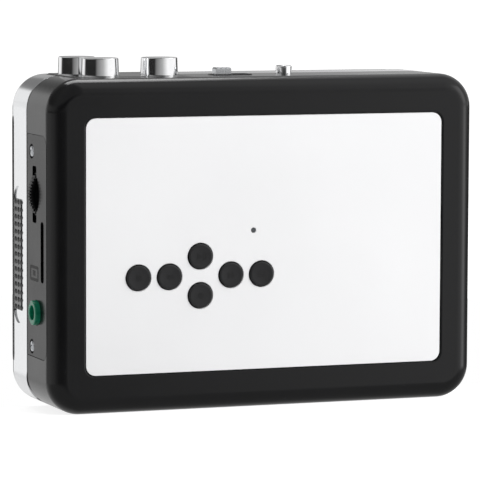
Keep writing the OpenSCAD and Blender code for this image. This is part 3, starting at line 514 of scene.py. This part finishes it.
wheel_slot = outline(WHEEL_T - 1.6, WHEEL_T + 1.6, WHEEL_Z - 7.0, WHEEL_Z + 7.0, 0.6, 4)
card_slot = outline(5.9, 8.4, 32.25, 47.25, 0.9, 8)
plate_cuts = [lathe(oval, DISH_T, WHEEL_Z, bowl, 64),
              prism(side, wheel_slot, *THROUGH),
              prism(side, card_slot, *THROUGH),
              prism(side, circle(JACK_T, JACK_Z, 3.2), *THROUGH)]
for t, z in SIDE_SCREWS:
    plate_cuts += [prism(side, circle(t, z, 0.9, 32), *THROUGH),
                   lathe(side, t, z, [(1.85, THROUGH[0]), (1.85, PLATE_X), (1.75, -56.0), (1.75, SEAT_X)])]
for cut in plate_cuts:
    plate_mesh = carve(plate_mesh, mesh_of("plate_cut", cut))
plate = piece("plate_left", plate_mesh, plate_abs, "case", ["side_plate"])


# Screen print: a matt ink film, a little darker here and there where it lies thicker.
def printed(name, colour):
    material, tree, shader, where = start_finish(name)
    film = add(tree, "ShaderNodeTexNoise", {"Vector": where, "Scale": 1000 / 0.5, "Detail": 2.0})
    shade = [c * 0.8 for c in tone(colour)[:3]] + [1.0]
    tint = add(tree, "ShaderNodeValToRGB", {"Fac": film.outputs["Fac"]}, stops=[
        (0.35, shade), (0.6, tone(colour))])
    tree.links.new(tint.outputs["Color"], shader.inputs["Base Color"])
    shader.inputs["Roughness"].default_value = 0.55
    return material


print_ink = printed("dark_screen_print", "#0b0b0c")
INK_TOP, INK_FOOT = PLATE_X - 0.025, PLATE_X + 0.005
card_frame = stack(side, [
    (outline(10.3 + e, 17.1 - e, 32.2 + e, 36.0 - e, 0.5 - e * 0.5, 3), x)
    for e, x in ((0.0, INK_TOP), (0.0, INK_FOOT), (0.75, INK_FOOT), (0.75, INK_TOP))], True)
card_mark = prism(side, outline(12.9, 14.7, 33.5, 34.8, 0.2, 3), INK_TOP, INK_FOOT)
card_print = piece("card_picture", mesh_of("card_picture", card_frame, card_mark), print_ink, "case")


# Screws: zinc-plated steel with a low pan head and a cross recess. Two short ones hold
# the side plate, four longer ones hold deck plate and chassis on the posts.
def plated(name, colour, deep, rough, brush=None, grain=0.3):
    """Bare or plated metal: fine rolling or plating grain, grain in millimetres."""
    material, tree, shader, where = start_finish(name)
    spread = add(tree, "ShaderNodeMapping", {"Vector": where, "Scale": brush or (1.0, 1.0, 1.0)})
    lines = add(tree, "ShaderNodeTexNoise", {
        "Vector": spread.outputs["Vector"], "Scale": 1000 / grain, "Detail": 4.0})
    tint = add(tree, "ShaderNodeValToRGB", {"Fac": lines.outputs["Fac"]}, stops=[
        (0.3, tone(deep)), (0.65, tone(colour))])
    tree.links.new(tint.outputs["Color"], shader.inputs["Base Color"])
    dull = add(tree, "ShaderNodeMapRange", {
        "Value": lines.outputs["Fac"], "From Min": 0.3, "From Max": 0.7,
        "To Min": rough * 0.75, "To Max": rough * 1.25})
    tree.links.new(dull.outputs["Result"], shader.inputs["Roughness"])
    bump = add(tree, "ShaderNodeBump", {
        "Height": lines.outputs["Fac"], "Strength": 0.05, "Distance": 0.00002})
    tree.links.new(bump.outputs["Normal"], shader.inputs["Normal"])
    shader.inputs["Metallic"].default_value = 1.0
    return material


def on_ground(u, v, h):
    return (u, v, h)


def screw_head(radius, rise, recess, groove=0.3):
    """Pan head with a cross recess, its foot on the ground plane and its axis upright."""
    dome = [(radius * r, rise * h) for r, h in (
        (1.0, 0.0), (1.0, 0.4), (0.96, 0.6), (0.84, 0.8), (0.6, 0.94), (0.3, 0.99), (0.0, 1.0))]
    head = mesh_of("head", lathe(on_ground, 0.0, 0.0, dome, 40))
    for long, wide in ((recess, groove), (groove, recess)):
        bar = stack(on_ground, [
            (outline(-long * k, long * k, -wide * k, wide * k, 0.05, 2), h)
            for k, h in ((0.7, rise * 0.3), (1.0, rise * 1.2))])
        head = carve(head, mesh_of("bar", bar))
    head.transform(Matrix.Rotation(0.6, 4, "Z"))
    return head


def start_group(name, sockets):
    """A group of geometry nodes with its input node and the identifiers of its inputs."""
    group = bpy.data.node_groups.new(name, "GeometryNodeTree")
    keys = {}
    for label, kind in sockets.items():
        socket = group.interface.new_socket(label, in_out="INPUT", socket_type="NodeSocket" + kind)
        keys[label] = socket.identifier
    group.interface.new_socket("Result", in_out="OUTPUT", socket_type="NodeSocketGeometry")
    return group, add(group, "NodeGroupInput"), keys


def grown(group, keys, copies, material, values, mesh):
    """What a group of geometry nodes makes of a mesh, its copies dressed and made plain."""
    real = add(group, "GeometryNodeRealizeInstances", {"Geometry": copies})
    dressed = add(group, "GeometryNodeSetMaterial", {
        "Geometry": real.outputs["Geometry"], "Material": material})
    add(group, "NodeGroupOutput", {"Result": dressed.outputs["Geometry"]})

    def grow(holder):
        modifier = holder.modifiers.new("grown", "NODES")
        modifier.node_group = group
        for label, value in values.items():
            modifier[keys[label]] = value
    return shown(mesh, grow)


def instances(name, points, head, turn, material):
    """Copies of one shape on points, all turned the same way, as one plain mesh."""
    group, given, keys = start_group(name, {"Points": "Geometry", "Shape": "Object", "Turn": "Rotation"})
    source = add(group, "GeometryNodeObjectInfo", {"Object": given.outputs["Shape"]})
    spread = add(group, "GeometryNodeInstanceOnPoints", {
        "Points": given.outputs["Points"], "Instance": source.outputs["Geometry"],
        "Rotation": given.outputs["Turn"]})
    seats = bpy.data.meshes.new(name)
    seats.from_pydata([[c * MM for c in p] for p in points], [], [])
    model = bpy.data.objects.new("model", head)
    scene.collection.objects.link(model)
    done = grown(group, keys, spread.outputs["Instances"], material, {"Shape": model, "Turn": turn}, seats)
    bpy.data.objects.remove(model)
    return done


zinc_steel = plated("zinc_plated_steel", "#dcdee1", "#b4b7bb", 0.22)
side_heads = instances("side_screw_heads", [side(t, z, SEAT_X) for t, z in SIDE_SCREWS],
                       screw_head(1.4, 0.9, 0.75, 0.15), (0.0, -math.pi / 2, 0.0), zinc_steel)
shanks = mesh_of("shanks", *[lathe(side, t, z, [(0.7, -55.5), (0.7, -54.4), (0.4, -54.15)], 20)
                             for t, z in SIDE_SCREWS])
screws = piece("screws_side_plate", merged("screws", side_heads, shanks), zinc_steel, "case", ["side_screws"])

deck_heads = instances("deck_screw_heads", [front(x, z, 19.2) for x, z in POSTS],
                       screw_head(2.1, 1.1, 1.2), (-math.pi / 2, 0.0, 0.0), zinc_steel)
long_shanks = mesh_of("long_shanks", *[prism(front, circle(x, z, 1.0, 20), 11.8, 19.3) for x, z in POSTS])
screws = piece("screws_deck", merged("screws", deck_heads, long_shanks), zinc_steel, "case", ["deck_screws"])


# Boards and their small parts: two glass-epoxy boards with green solder mask, moulded
# switch bodies, folded steel sockets for card and plug, and the status lamp.
def dress(material, *nodes):
    """Gives CAD nodes that stay as they are a better finish."""
    for node in nodes:
        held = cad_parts[node].data
        held.materials.clear()
        held.materials.append(material)


# Glass-epoxy board: green solder mask over copper tracks that run in steps, 0.6 mm apart.
solder_mask, tree, shader, where = start_finish("green_solder_mask")
face_on = add(tree, "ShaderNodeMapping", {"Vector": where, "Rotation": (math.pi / 2, 0.0, 0.0)})
tracks = add(tree, "ShaderNodeTexBrick", {
    "Vector": face_on.outputs["Vector"], "Color1": tone("#14502f"), "Color2": tone("#1b6339"),
    "Mortar": tone("#2f8552"), "Scale": 1000 / 6, "Mortar Size": 0.05, "Brick Width": 0.9, "Row Height": 0.3})
tree.links.new(tracks.outputs["Color"], shader.inputs["Base Color"])
shader.inputs["Roughness"].default_value = 0.35
raised = add(tree, "ShaderNodeBump", {"Height": tracks.outputs["Fac"], "Strength": 0.2, "Distance": 0.00003})
tree.links.new(raised.outputs["Normal"], shader.inputs["Normal"])
dress(solder_mask, "main_board", "jack_board")

switch_plastic = moulded("glass_filled_nylon", "#202124", "#2a2b2e", 0.42, 0.55, 0.5, 0.12)
dress(switch_plastic, "tact_switches", "top_switches", "volume_pot")
tin_plate = plated("tinned_sheet_steel", "#d2d4d6", "#a9acb0", 0.3, (1.0, 0.15, 1.0))
dress(tin_plate, "card_socket", "power_socket")
lamp_lens = moulded("smoked_acrylic_lens", "#3b3d40", "#4a4d50", 0.08, 0.14, 0.6, 0.02, 2.0)
dress(lamp_lens, "status_led")


# Earphone jack: a green PBT moulding on the small board; its round collar comes through
# the side plate with a flat rim and a deep bore for the plug.
JACK_BORE_R = 1.8
jack_body = mesh_of("jack_body", slab(
    side, JACK_T - 2.6, 15.8, JACK_Z - 3.0, JACK_Z + 3.0, -54.5, -42.2, 0.4, 0.2))
jack_bore = mesh_of("jack_bore", prism(side, circle(JACK_T, JACK_Z, JACK_BORE_R), -58.0, -43.2))
jack_body = carve(jack_body, jack_bore)
collar = mesh_of("collar", lathe(side, JACK_T, JACK_Z, [
    (JACK_BORE_R, -54.3), (JACK_BORE_R, -57.15), (1.87, -57.32), (2.0, -57.38), (2.15, -57.4), (2.72, -57.4),
    (2.88, -57.36), (3.0, -57.25), (3.05, -57.05), (3.05, -54.3)], 64, True))
# Green PBT: a clear, slightly waxy colour that lets a little light through its lip.
green_pbt, tree, shader, where = start_finish("green_pbt")
swirl = add(tree, "ShaderNodeTexNoise", {"Vector": where, "Scale": 1000 / 3, "Detail": 3.0})
tint = add(tree, "ShaderNodeValToRGB", {"Fac": swirl.outputs["Fac"]}, stops=[
    (0.3, tone("#0f8a66")), (0.7, tone("#159a75"))])
tree.links.new(tint.outputs["Color"], shader.inputs["Base Color"])
shader.inputs["Roughness"].default_value = 0.2
shader.inputs["IOR"].default_value = 1.55
shader.inputs["Subsurface Weight"].default_value = 0.08
shader.inputs["Subsurface Radius"].default_value = (0.0006, 0.0012, 0.0009)
jack = piece("earphone_jack", merged("jack", jack_body, collar), green_pbt, "case", ["headphone_jack"])


# Chassis and tape drive: a stamped steel plate with riveted pins carries brass bushes, a
# drawn steel motor, and two turned flywheels that a flat rubber belt drives.
def carry_over(node, width, material, body):
    """A CAD node kept in shape, with its edges broken."""
    made = piece("fine_" + node, eased_edges(carried(node), width), material, body, [node])


stamped_steel = plated("stamped_steel", "#b9bcc0", "#8f9398", 0.3, (1.0, 1.0, 0.08), 0.4)
carry_over("chassis", 0.12, stamped_steel, "case")
turned_brass = plated("turned_brass", "#c79f55", "#a67d35", 0.2, (1.0, 0.1, 1.0))
carry_over("capstan_bushes", 0.1, turned_brass, "case")
carry_over("motor_pulley", 0.08, turned_brass, "rotor")
drawn_steel = plated("drawn_motor_can", "#a2a6ab", "#80848a", 0.26, (1.0, 0.1, 1.0))
carry_over("motor", 0.5, drawn_steel, "case")
flywheel_alloy = plated("turned_zinc_alloy", "#c5c2b6", "#9d9a8e", 0.24, (1.0, 0.1, 1.0))
for hand in ("left", "right"):
    carry_over("flywheel_" + hand, 0.15, flywheel_alloy, "capstan_" + hand)
# Ground rubber: dull black with the 0.2 mm tooth of its grinding.
ground_rubber = moulded("ground_rubber", "#121213", "#1c1c1d", 0.62, 0.78, 0.25, 0.3, 5.0)
dress(ground_rubber, "drive_belt")


# Deck plate: the black polystyrene floor under the cassette, with openings for spindles,
# capstans and heads. The reel spindles are acetal, the idler arm is steel.
deck_black = moulded("textured_black_polystyrene", "#17181a", "#202124", 0.4, 0.52, 0.5, 0.15)
carry_over("deck_plate", 0.2, deck_black, "case")
white_acetal = moulded("natural_acetal", "#dedbd2", "#e9e6de", 0.3, 0.38, 0.6, 0.04)
for hand in ("left", "right"):
    carry_over("reel_spindle_" + hand, 0.18, white_acetal, "reel_" + hand)
carry_over("idler_arm", 0.1, stamped_steel, "idler_lever")
dress(ground_rubber, "idler_wheel")


# Heads and rollers: a sliding steel plate carries the tape head with its polished face;
# two arms swing the rubber pinch rollers against the capstans.
carry_over("head_plate", 0.1, stamped_steel, "heads")
lapped_head = plated("lapped_permalloy", "#d3d5d8", "#b9bcc0", 0.12, (0.1, 1.0, 1.0))
carry_over("tape_head", 0.25, lapped_head, "heads")
for hand in ("left", "right"):
    carry_over("pinch_arm_" + hand, 0.1, stamped_steel, "arm_" + hand)
    carry_over("pinch_roller_" + hand, 0.25, ground_rubber, "roller_" + hand)


# Battery bay: a black box for two cells in line with nickel-plated spring plates, closed
# on the cassette side by a lid with a finger notch.
dress(deck_black, "battery_box")
nickel = plated("nickel_plated_spring_steel", "#d8d4c8", "#b5b1a6", 0.18)
dress(nickel, "battery_contacts")
carry_over("battery_cover", 0.2, deck_black, "battery_lid")


# Tape keys: ABS caps with bright chrome plating, turned crisp at the rim and slightly
# dished on top, each on a bar that keeps it under the top wall.
# Chrome plating: a nearly perfect mirror, with faint haze from the plastic under it.
bright_chrome = plated("bright_chrome_plating", "#fbfbfc", "#f4f5f6", 0.04, None, 2.0)
CAP = [(0.0, 86.75), (1.4, 86.79), (2.8, 86.86), (4.0, 86.92), (4.24, 86.94), (4.36, 86.95), (4.44, 86.92),
       (4.49, 86.86), (4.51, 86.76), (KEY_R, 82.3), (KEY_R, 79.8), (0.0, 79.8)]
for key, (x, t) in KEYS.items():
    bar = slab(top, x - 5.55, x + 5.55, t - 1.5, t + 1.5, 79.2, 80.2, 0.3, 0.1)
    key_mesh = mesh_of(key, lathe(top, x, t, CAP, 72), bar)
    piece("key_" + key, key_mesh, bright_chrome, key, [key + "_key"], 25)


# Mode slider and direction button: a ribbed slider of satin-plated ABS in a slot and a
# small chrome button beside it, both held under the top wall by a wider foot.
satin_plate = plated("satin_plated_abs", "#dcdee0", "#c4c6c9", 0.3, None, 0.5)
KNOB_TOP = 84.25
teeth = [(SLIDER_X + u, KNOB_TOP - drop) for u, drop in (
    (-2.05, 4.55), (-2.05, 0.4), (-1.7, 0.0), (-1.6, 0.0), (-1.5, 0.45), (-0.85, 0.45), (-0.75, 0.0),
    (-0.4, 0.0), (-0.3, 0.45), (0.35, 0.45), (0.45, 0.0), (0.8, 0.0), (0.9, 0.45), (1.55, 0.45),
    (1.65, 0.0), (1.7, 0.0), (2.05, 0.4), (2.05, 4.55))]
knob = eased_edges(mesh_of("knob", prism(front, teeth, 11.6, 14.4)), 0.08, 20, 1)
foot = mesh_of("foot", slab(top, SLIDER_X - 4.45, SLIDER_X + 4.45, 10.8, 15.2, 79.0, 80.1, 0.3, 0.1))
slider = piece("slider_mode", merged("slider", knob, foot), satin_plate, "mode", ["mode_slider"])
DOME = [(0.0, 84.5), (1.0, 84.52), (1.5, 84.59), (1.7, 84.58), (1.86, 84.5), (1.97, 84.34), (2.0, 84.1),
        (2.0, 80.25), (2.8, 80.2), (2.8, 79.4), (0.0, 79.4)]
dome_mesh = mesh_of("direction", lathe(top, DIRECTION_X, ROW_T, DOME))
direction = piece("button_direction", dome_mesh, bright_chrome, "direction", ["direction_button"], 25)


# Volume wheel: a black ABS thumb wheel on the shaft of the volume control; its rim is
# knurled with straight ribs that the thumb catches.
WHEEL_X = -49.9


def knurl(ribs, radius, rib, length, material):
    """Round bars side by side on a circle along the wheel's axis, sizes in millimetres."""
    group, given, keys = start_group("knurled_rim", {
        "Ribs": "Int", "Radius": "Float", "Rib": "Float", "Length": "Float"})
    rim = add(group, "GeometryNodeMeshCircle", {
        "Vertices": given.outputs["Ribs"], "Radius": given.outputs["Radius"]})
    bar = add(group, "GeometryNodeMeshCylinder", {
        "Vertices": 10, "Radius": given.outputs["Rib"], "Depth": given.outputs["Length"]})
    spread = add(group, "GeometryNodeInstanceOnPoints", {
        "Points": rim.outputs["Mesh"], "Instance": bar.outputs["Mesh"]})
    laid = add(group, "GeometryNodeTransform", {
        "Geometry": spread.outputs["Instances"], "Rotation": (math.pi / 2, 0.0, 0.0),
        "Translation": [c * MM for c in front(WHEEL_X, WHEEL_Z, WHEEL_T)]})
    return grown(group, keys, laid.outputs["Geometry"], material, {
        "Ribs": ribs, "Radius": radius * MM, "Rib": rib * MM, "Length": length * MM},
        bpy.data.meshes.new("rim"))


wheel_abs = moulded("wheel_black_abs", "#0b0b0c", "#101011", 0.3, 0.36, 0.4, 0.05, 14.0, 1.3)
hub = lathe(front, WHEEL_X, WHEEL_Z, [(r, WHEEL_T + t) for r, t in (
    (1.56, -0.95), (6.3, -0.95), (6.5, -1.05), (7.3, -1.05), (7.38, -1.01), (7.42, -0.9), (7.42, 1.15),
    (7.38, 1.26), (7.3, 1.3), (1.56, 1.3))], 96, True)
wheel_mesh = merged("wheel", mesh_of("hub", hub), knurl(60, 7.5, 0.29, 1.9, wheel_abs))
piece("wheel_volume", wheel_mesh, wheel_abs, "volume", ["volume_wheel"])


# Panel buttons: six round ABS caps with a soft-touch coat, a shallow dish and a flange
# behind the wall. Plain transport marks are printed on them in a slightly darker ink.
soft_black = moulded("soft_touch_black", "#1c1c1d", "#232324", 0.42, 0.5, 0.35, 0.08, 6.0)
button_ink = printed("button_print", "#121213")
PUSH = [(0.0, -0.3), (1.4, -0.31), (2.2, -0.35), (2.6, -0.395), (2.74, -0.4), (2.88, -0.37), (2.98, -0.28),
        (3.04, -0.14), (3.05, 0.0), (3.05, 2.05), (3.75, 2.1), (3.75, 2.75), (0.0, 2.75)]


def arrow(du, size, hand):
    """Triangle of the transport marks, pointing right where hand is 1 and left where it is -1."""
    return [(hand * (du + size * u), hand * size * v) for u, v in ((-0.5, -0.75), (0.6, 0.0), (-0.5, 0.75))]


MARKS = {"far_left": [outline(-0.75, 0.75, -0.75, 0.75, 0.1, 2)],
         "left": [arrow(-0.55, 1.0, -1), arrow(0.5, 1.0, -1)],
         "up": [arrow(-0.45, 1.2, 1), outline(0.55, 0.85, -0.85, 0.85, 0.05, 2),
                outline(1.1, 1.4, -0.85, 0.85, 0.05, 2)],
         "down": [circle(0.0, 0.0, 0.8, 24)],
         "right": [arrow(-0.5, 1.0, 1), arrow(0.55, 1.0, 1)],
         "far_right": [outline(-0.9, 0.9, z - 0.15, z + 0.15, 0.05, 2) for z in (-0.6, 0.0, 0.6)]}
for where_at, (x, z) in BUTTONS.items():
    cap_mesh = mesh_of(where_at, lathe(front, x, z, PUSH))
    cap = piece("cap_" + where_at, cap_mesh, soft_black, "push_" + where_at, ["button_" + where_at], 25)
    marks = [prism(front, [(x + u, z + v) for u, v in mark], -0.34, -0.28) for mark in MARKS[where_at]]
    mark_mesh = mesh_of("mark", *marks)
    piece("mark_" + where_at, mark_mesh, button_ink, "push_" + where_at)


# Door: the silver back half of the case, moulded in ABS and lacquered in bright silver. It
# hinges on a barrel along the bottom, latches at the top and holds the cassette.
# Bright silver lacquer: a smooth metal look with a fine flake of 0.1 mm, drawn at 0.3 mm.
silver_lacquer, tree, shader, where = start_finish("bright_silver_lacquer")
flake = add(tree, "ShaderNodeTexVoronoi", {"Vector": where, "Scale": 1000 / 0.3})
tint = add(tree, "ShaderNodeValToRGB", {"Fac": flake.outputs["Distance"]}, stops=[
    (0.1, tone("#f3f4f5")), (0.8, tone("#e9eaec"))])
tree.links.new(tint.outputs["Color"], shader.inputs["Base Color"])
flow = add(tree, "ShaderNodeTexNoise", {"Vector": where, "Scale": 1000 / 9, "Detail": 2.0})
orange_peel = add(tree, "ShaderNodeBump", {
    "Height": flow.outputs["Fac"], "Strength": 0.03, "Distance": 0.0002})
tree.links.new(orange_peel.outputs["Normal"], shader.inputs["Normal"])
shader.inputs["Metallic"].default_value = 1.0
shader.inputs["Roughness"].default_value = 0.1

BACK_R, SILVER_T = 3.0, 33.95


def rounded(shape, back_t):
    """Outlines of a shape round its back edge, which ends at the depth back_t."""
    turns = [math.radians(90 * i / 12) for i in range(13)]
    return [(shape(BACK_R * (1 - math.cos(a))), back_t - BACK_R + BACK_R * math.sin(a)) for a in turns]


levels = [(case_outline(inset), t) for inset, t in (
    (WALL, 32.0), (WALL, 19.85), (WALL - 0.12, 19.7), (0.2, 19.7), (0.06, 19.76), (0.0, 19.92),
    (0.0, 33.8 - BACK_R))]
levels += rounded(case_outline, SILVER_T) + [(case_outline(BACK_R + 0.2), SILVER_T)]
door_mesh = mesh_of("door", stack(front, levels))
BARREL_IN, BARREL_OUT, BARREL_END = 39.6, 44.4, 47.6
deck_room = outline(DECK[0] - 0.4, DECK[1] + 0.4, 18.0, DECK[3] + 0.4, 2.0, 8)
hinge_room = [(18.7, -3.0), (HINGE_T, -3.0), (HINGE_T, HINGE_Z), (19.7, 9.0), (18.7, 9.0)]
ear_room = outline(17.0, 24.2, -3.0, 4.4, 0.3, 2)
window_hole = outline(-36.0, 36.0, 26.0, 58.0, 2.0, 8)
window_seat = outline(-37.65, 37.65, 24.35, 59.65, 3.0, 8)
grip_pocket = outline(23.1, 30.3, 20.35, 54.75, 3.5, 10)
door_cuts = [prism(top, deck_room, 79.4, 85.0),
             prism(side, hinge_room, -60.0, 60.0),
             prism(side, ear_room, BARREL_IN, BARREL_OUT),
             prism(side, ear_room, -BARREL_OUT, -BARREL_IN),
             prism(front, window_hole, 30.0, 33.0),
             prism(front, window_seat, 32.5, 35.0),
             prism(side, grip_pocket, -58.0, -55.88),
             prism(side, grip_pocket, 55.88, 58.0)]
for cut in door_cuts:
    door_mesh = carve(door_mesh, mesh_of("door_cut", cut))
barrels = [lathe(side, HINGE_T, HINGE_Z, [(1.75, x0), (1.9, x0 + 0.15), (1.9, x1 - 0.15), (1.75, x1)], 40)
           for x0, x1 in ((-BARREL_END, -BARREL_OUT), (-BARREL_IN, BARREL_IN), (BARREL_OUT, BARREL_END))]
tongue = [slab(side, t, 21.3, 78.4, z, 18.0, 30.0, 0.3, 0.2) for t, z in ((17.8, 79.9), (19.9, 80.6))]
door_mesh = merged("door", door_mesh, mesh_of("door_extras", *barrels, *tongue))
piece("door_back", door_mesh, silver_lacquer, "door", ["door_shell"], 25)


# Back of the door: painted shade, a thin sheet of black ABS laid over the silver half, a hair proud of it.
# From the front it shows as a dark line along the back edge that ends before the corners, standing in for the
# shade and dark reflection on that rounded edge.
SHADE_SHEET_PROUD, BLACK_T = 0.12, 34.0


def back_outline(inset):
    return outline(inset - HALF_W - SHADE_SHEET_PROUD, HALF_W + SHADE_SHEET_PROUD - inset, 0.03 + inset,
                   CASE_H + 0.02 - inset, CORNER_R + 3.6 - inset, 16)


pane_edge = outline(-37.67, 37.67, 24.33, 59.67, 3.02, 16)
# Painted shade: a dark sheet round the back edge of the silver door, standing in for its shaded rounding.
shade_sheet = [(back_outline(0.5), 30.5), (back_outline(0.05), 30.5), (back_outline(0.0), 30.55)]
shade_sheet += rounded(back_outline, BLACK_T)
shade_sheet += [(back_outline(BACK_R + 0.3), BLACK_T), (pane_edge, BLACK_T), (pane_edge, 33.6),
         (back_outline(BACK_R + 1.5), 33.6), (back_outline(1.0), 31.4)]
painted_shade_sheet = piece("coat_back", mesh_of("shade_sheet", stack(front, shade_sheet, True)), black_abs, "door", (), 25)


# Finger grips: pads with rows of small round bumps of hard glossy black plastic, set into
# a shallow pocket on each side of the door.
def bumps(rows, columns, step, across_step, radius, across_radius, rise, material):
    """Round bumps in rows and columns on the ground plane, all sizes in millimetres."""
    group, given, keys = start_group("grip_bumps", {
        "Rows": "Int", "Columns": "Int", "Length": "Float", "Width": "Float", "Radius": "Float",
        "Across": "Float", "Rise": "Float"})
    field = add(group, "GeometryNodeMeshGrid", {
        "Size X": given.outputs["Width"], "Size Y": given.outputs["Length"],
        "Vertices X": given.outputs["Columns"], "Vertices Y": given.outputs["Rows"]})
    ball = add(group, "GeometryNodeMeshUVSphere", {"Segments": 12, "Rings": 6, "Radius": 1.0})
    squash = add(group, "ShaderNodeCombineXYZ", {
        "X": given.outputs["Across"], "Y": given.outputs["Radius"], "Z": given.outputs["Rise"]})
    spread = add(group, "GeometryNodeInstanceOnPoints", {
        "Points": field.outputs["Mesh"], "Instance": ball.outputs["Mesh"], "Scale": squash.outputs["Vector"]})
    return grown(group, keys, spread.outputs["Instances"], material, {
        "Rows": rows, "Columns": columns, "Length": step * (rows - 1) * MM,
        "Width": across_step * (columns - 1) * MM, "Radius": radius * MM,
        "Across": across_radius * MM, "Rise": rise * MM}, bpy.data.meshes.new("bumps"))


grip_black = moulded("glossy_black_melamine", "#171718", "#1d1d1e", 0.16, 0.2, 0.4, 0.04, 14.0, 1.8)
pads = []
for hand in (-1, 1):
    dots = bumps(15, 3, 1.88, 2.3, 0.75, 0.95, 0.58, grip_black)
    middle = Matrix.Translation([c * MM for c in side(26.5, 37.55, hand * 56.06)])
    dots.transform(middle @ Matrix(((0, 0, hand), (hand, 0, 0), (0, 1, 0))).to_4x4())
    dots.update()
    pad = stack(side, [(outline(24.1 + e, 30.1 - e, 23.7 + e, 51.4 - e, 0.8 - e, 6), hand * x)
                       for e, x in ((0.0, 55.45), (0.0, 56.16), (0.04, 56.23), (0.12, 56.26))])
    pads += [dots, mesh_of("pad", pad)]
piece("grips_door", merged("grips", *pads), grip_black, "door", ["door_grips"])


# Door window: a clear polycarbonate pane bonded into the back of the door, slightly smoky,
# through which the cassette can be seen.
clear_pc, tree, shader, where = start_finish("clear_polycarbonate")
haze = add(tree, "ShaderNodeTexNoise", {"Vector": where, "Scale": 1000 / 12, "Detail": 2.0})
faint = add(tree, "ShaderNodeMapRange", {"Value": haze.outputs["Fac"], "To Min": 0.02, "To Max": 0.08})
tree.links.new(faint.outputs["Result"], shader.inputs["Roughness"])
shader.inputs["Base Color"].default_value = tone("#c9cdd0")
shader.inputs["Transmission Weight"].default_value = 1.0
shader.inputs["IOR"].default_value = 1.58
carry_over("door_window", 0.25, clear_pc, "door")


# Cassette holder: black rails inside the door, bowed leaf springs that push the cassette
# onto the deck, and the steel pins that the door turns on.
carry_over("cassette_holder", 0.15, deck_black, "door")
carry_over("cassette_springs", 0.08, nickel, "door")
dress(zinc_steel, "hinge_pins")
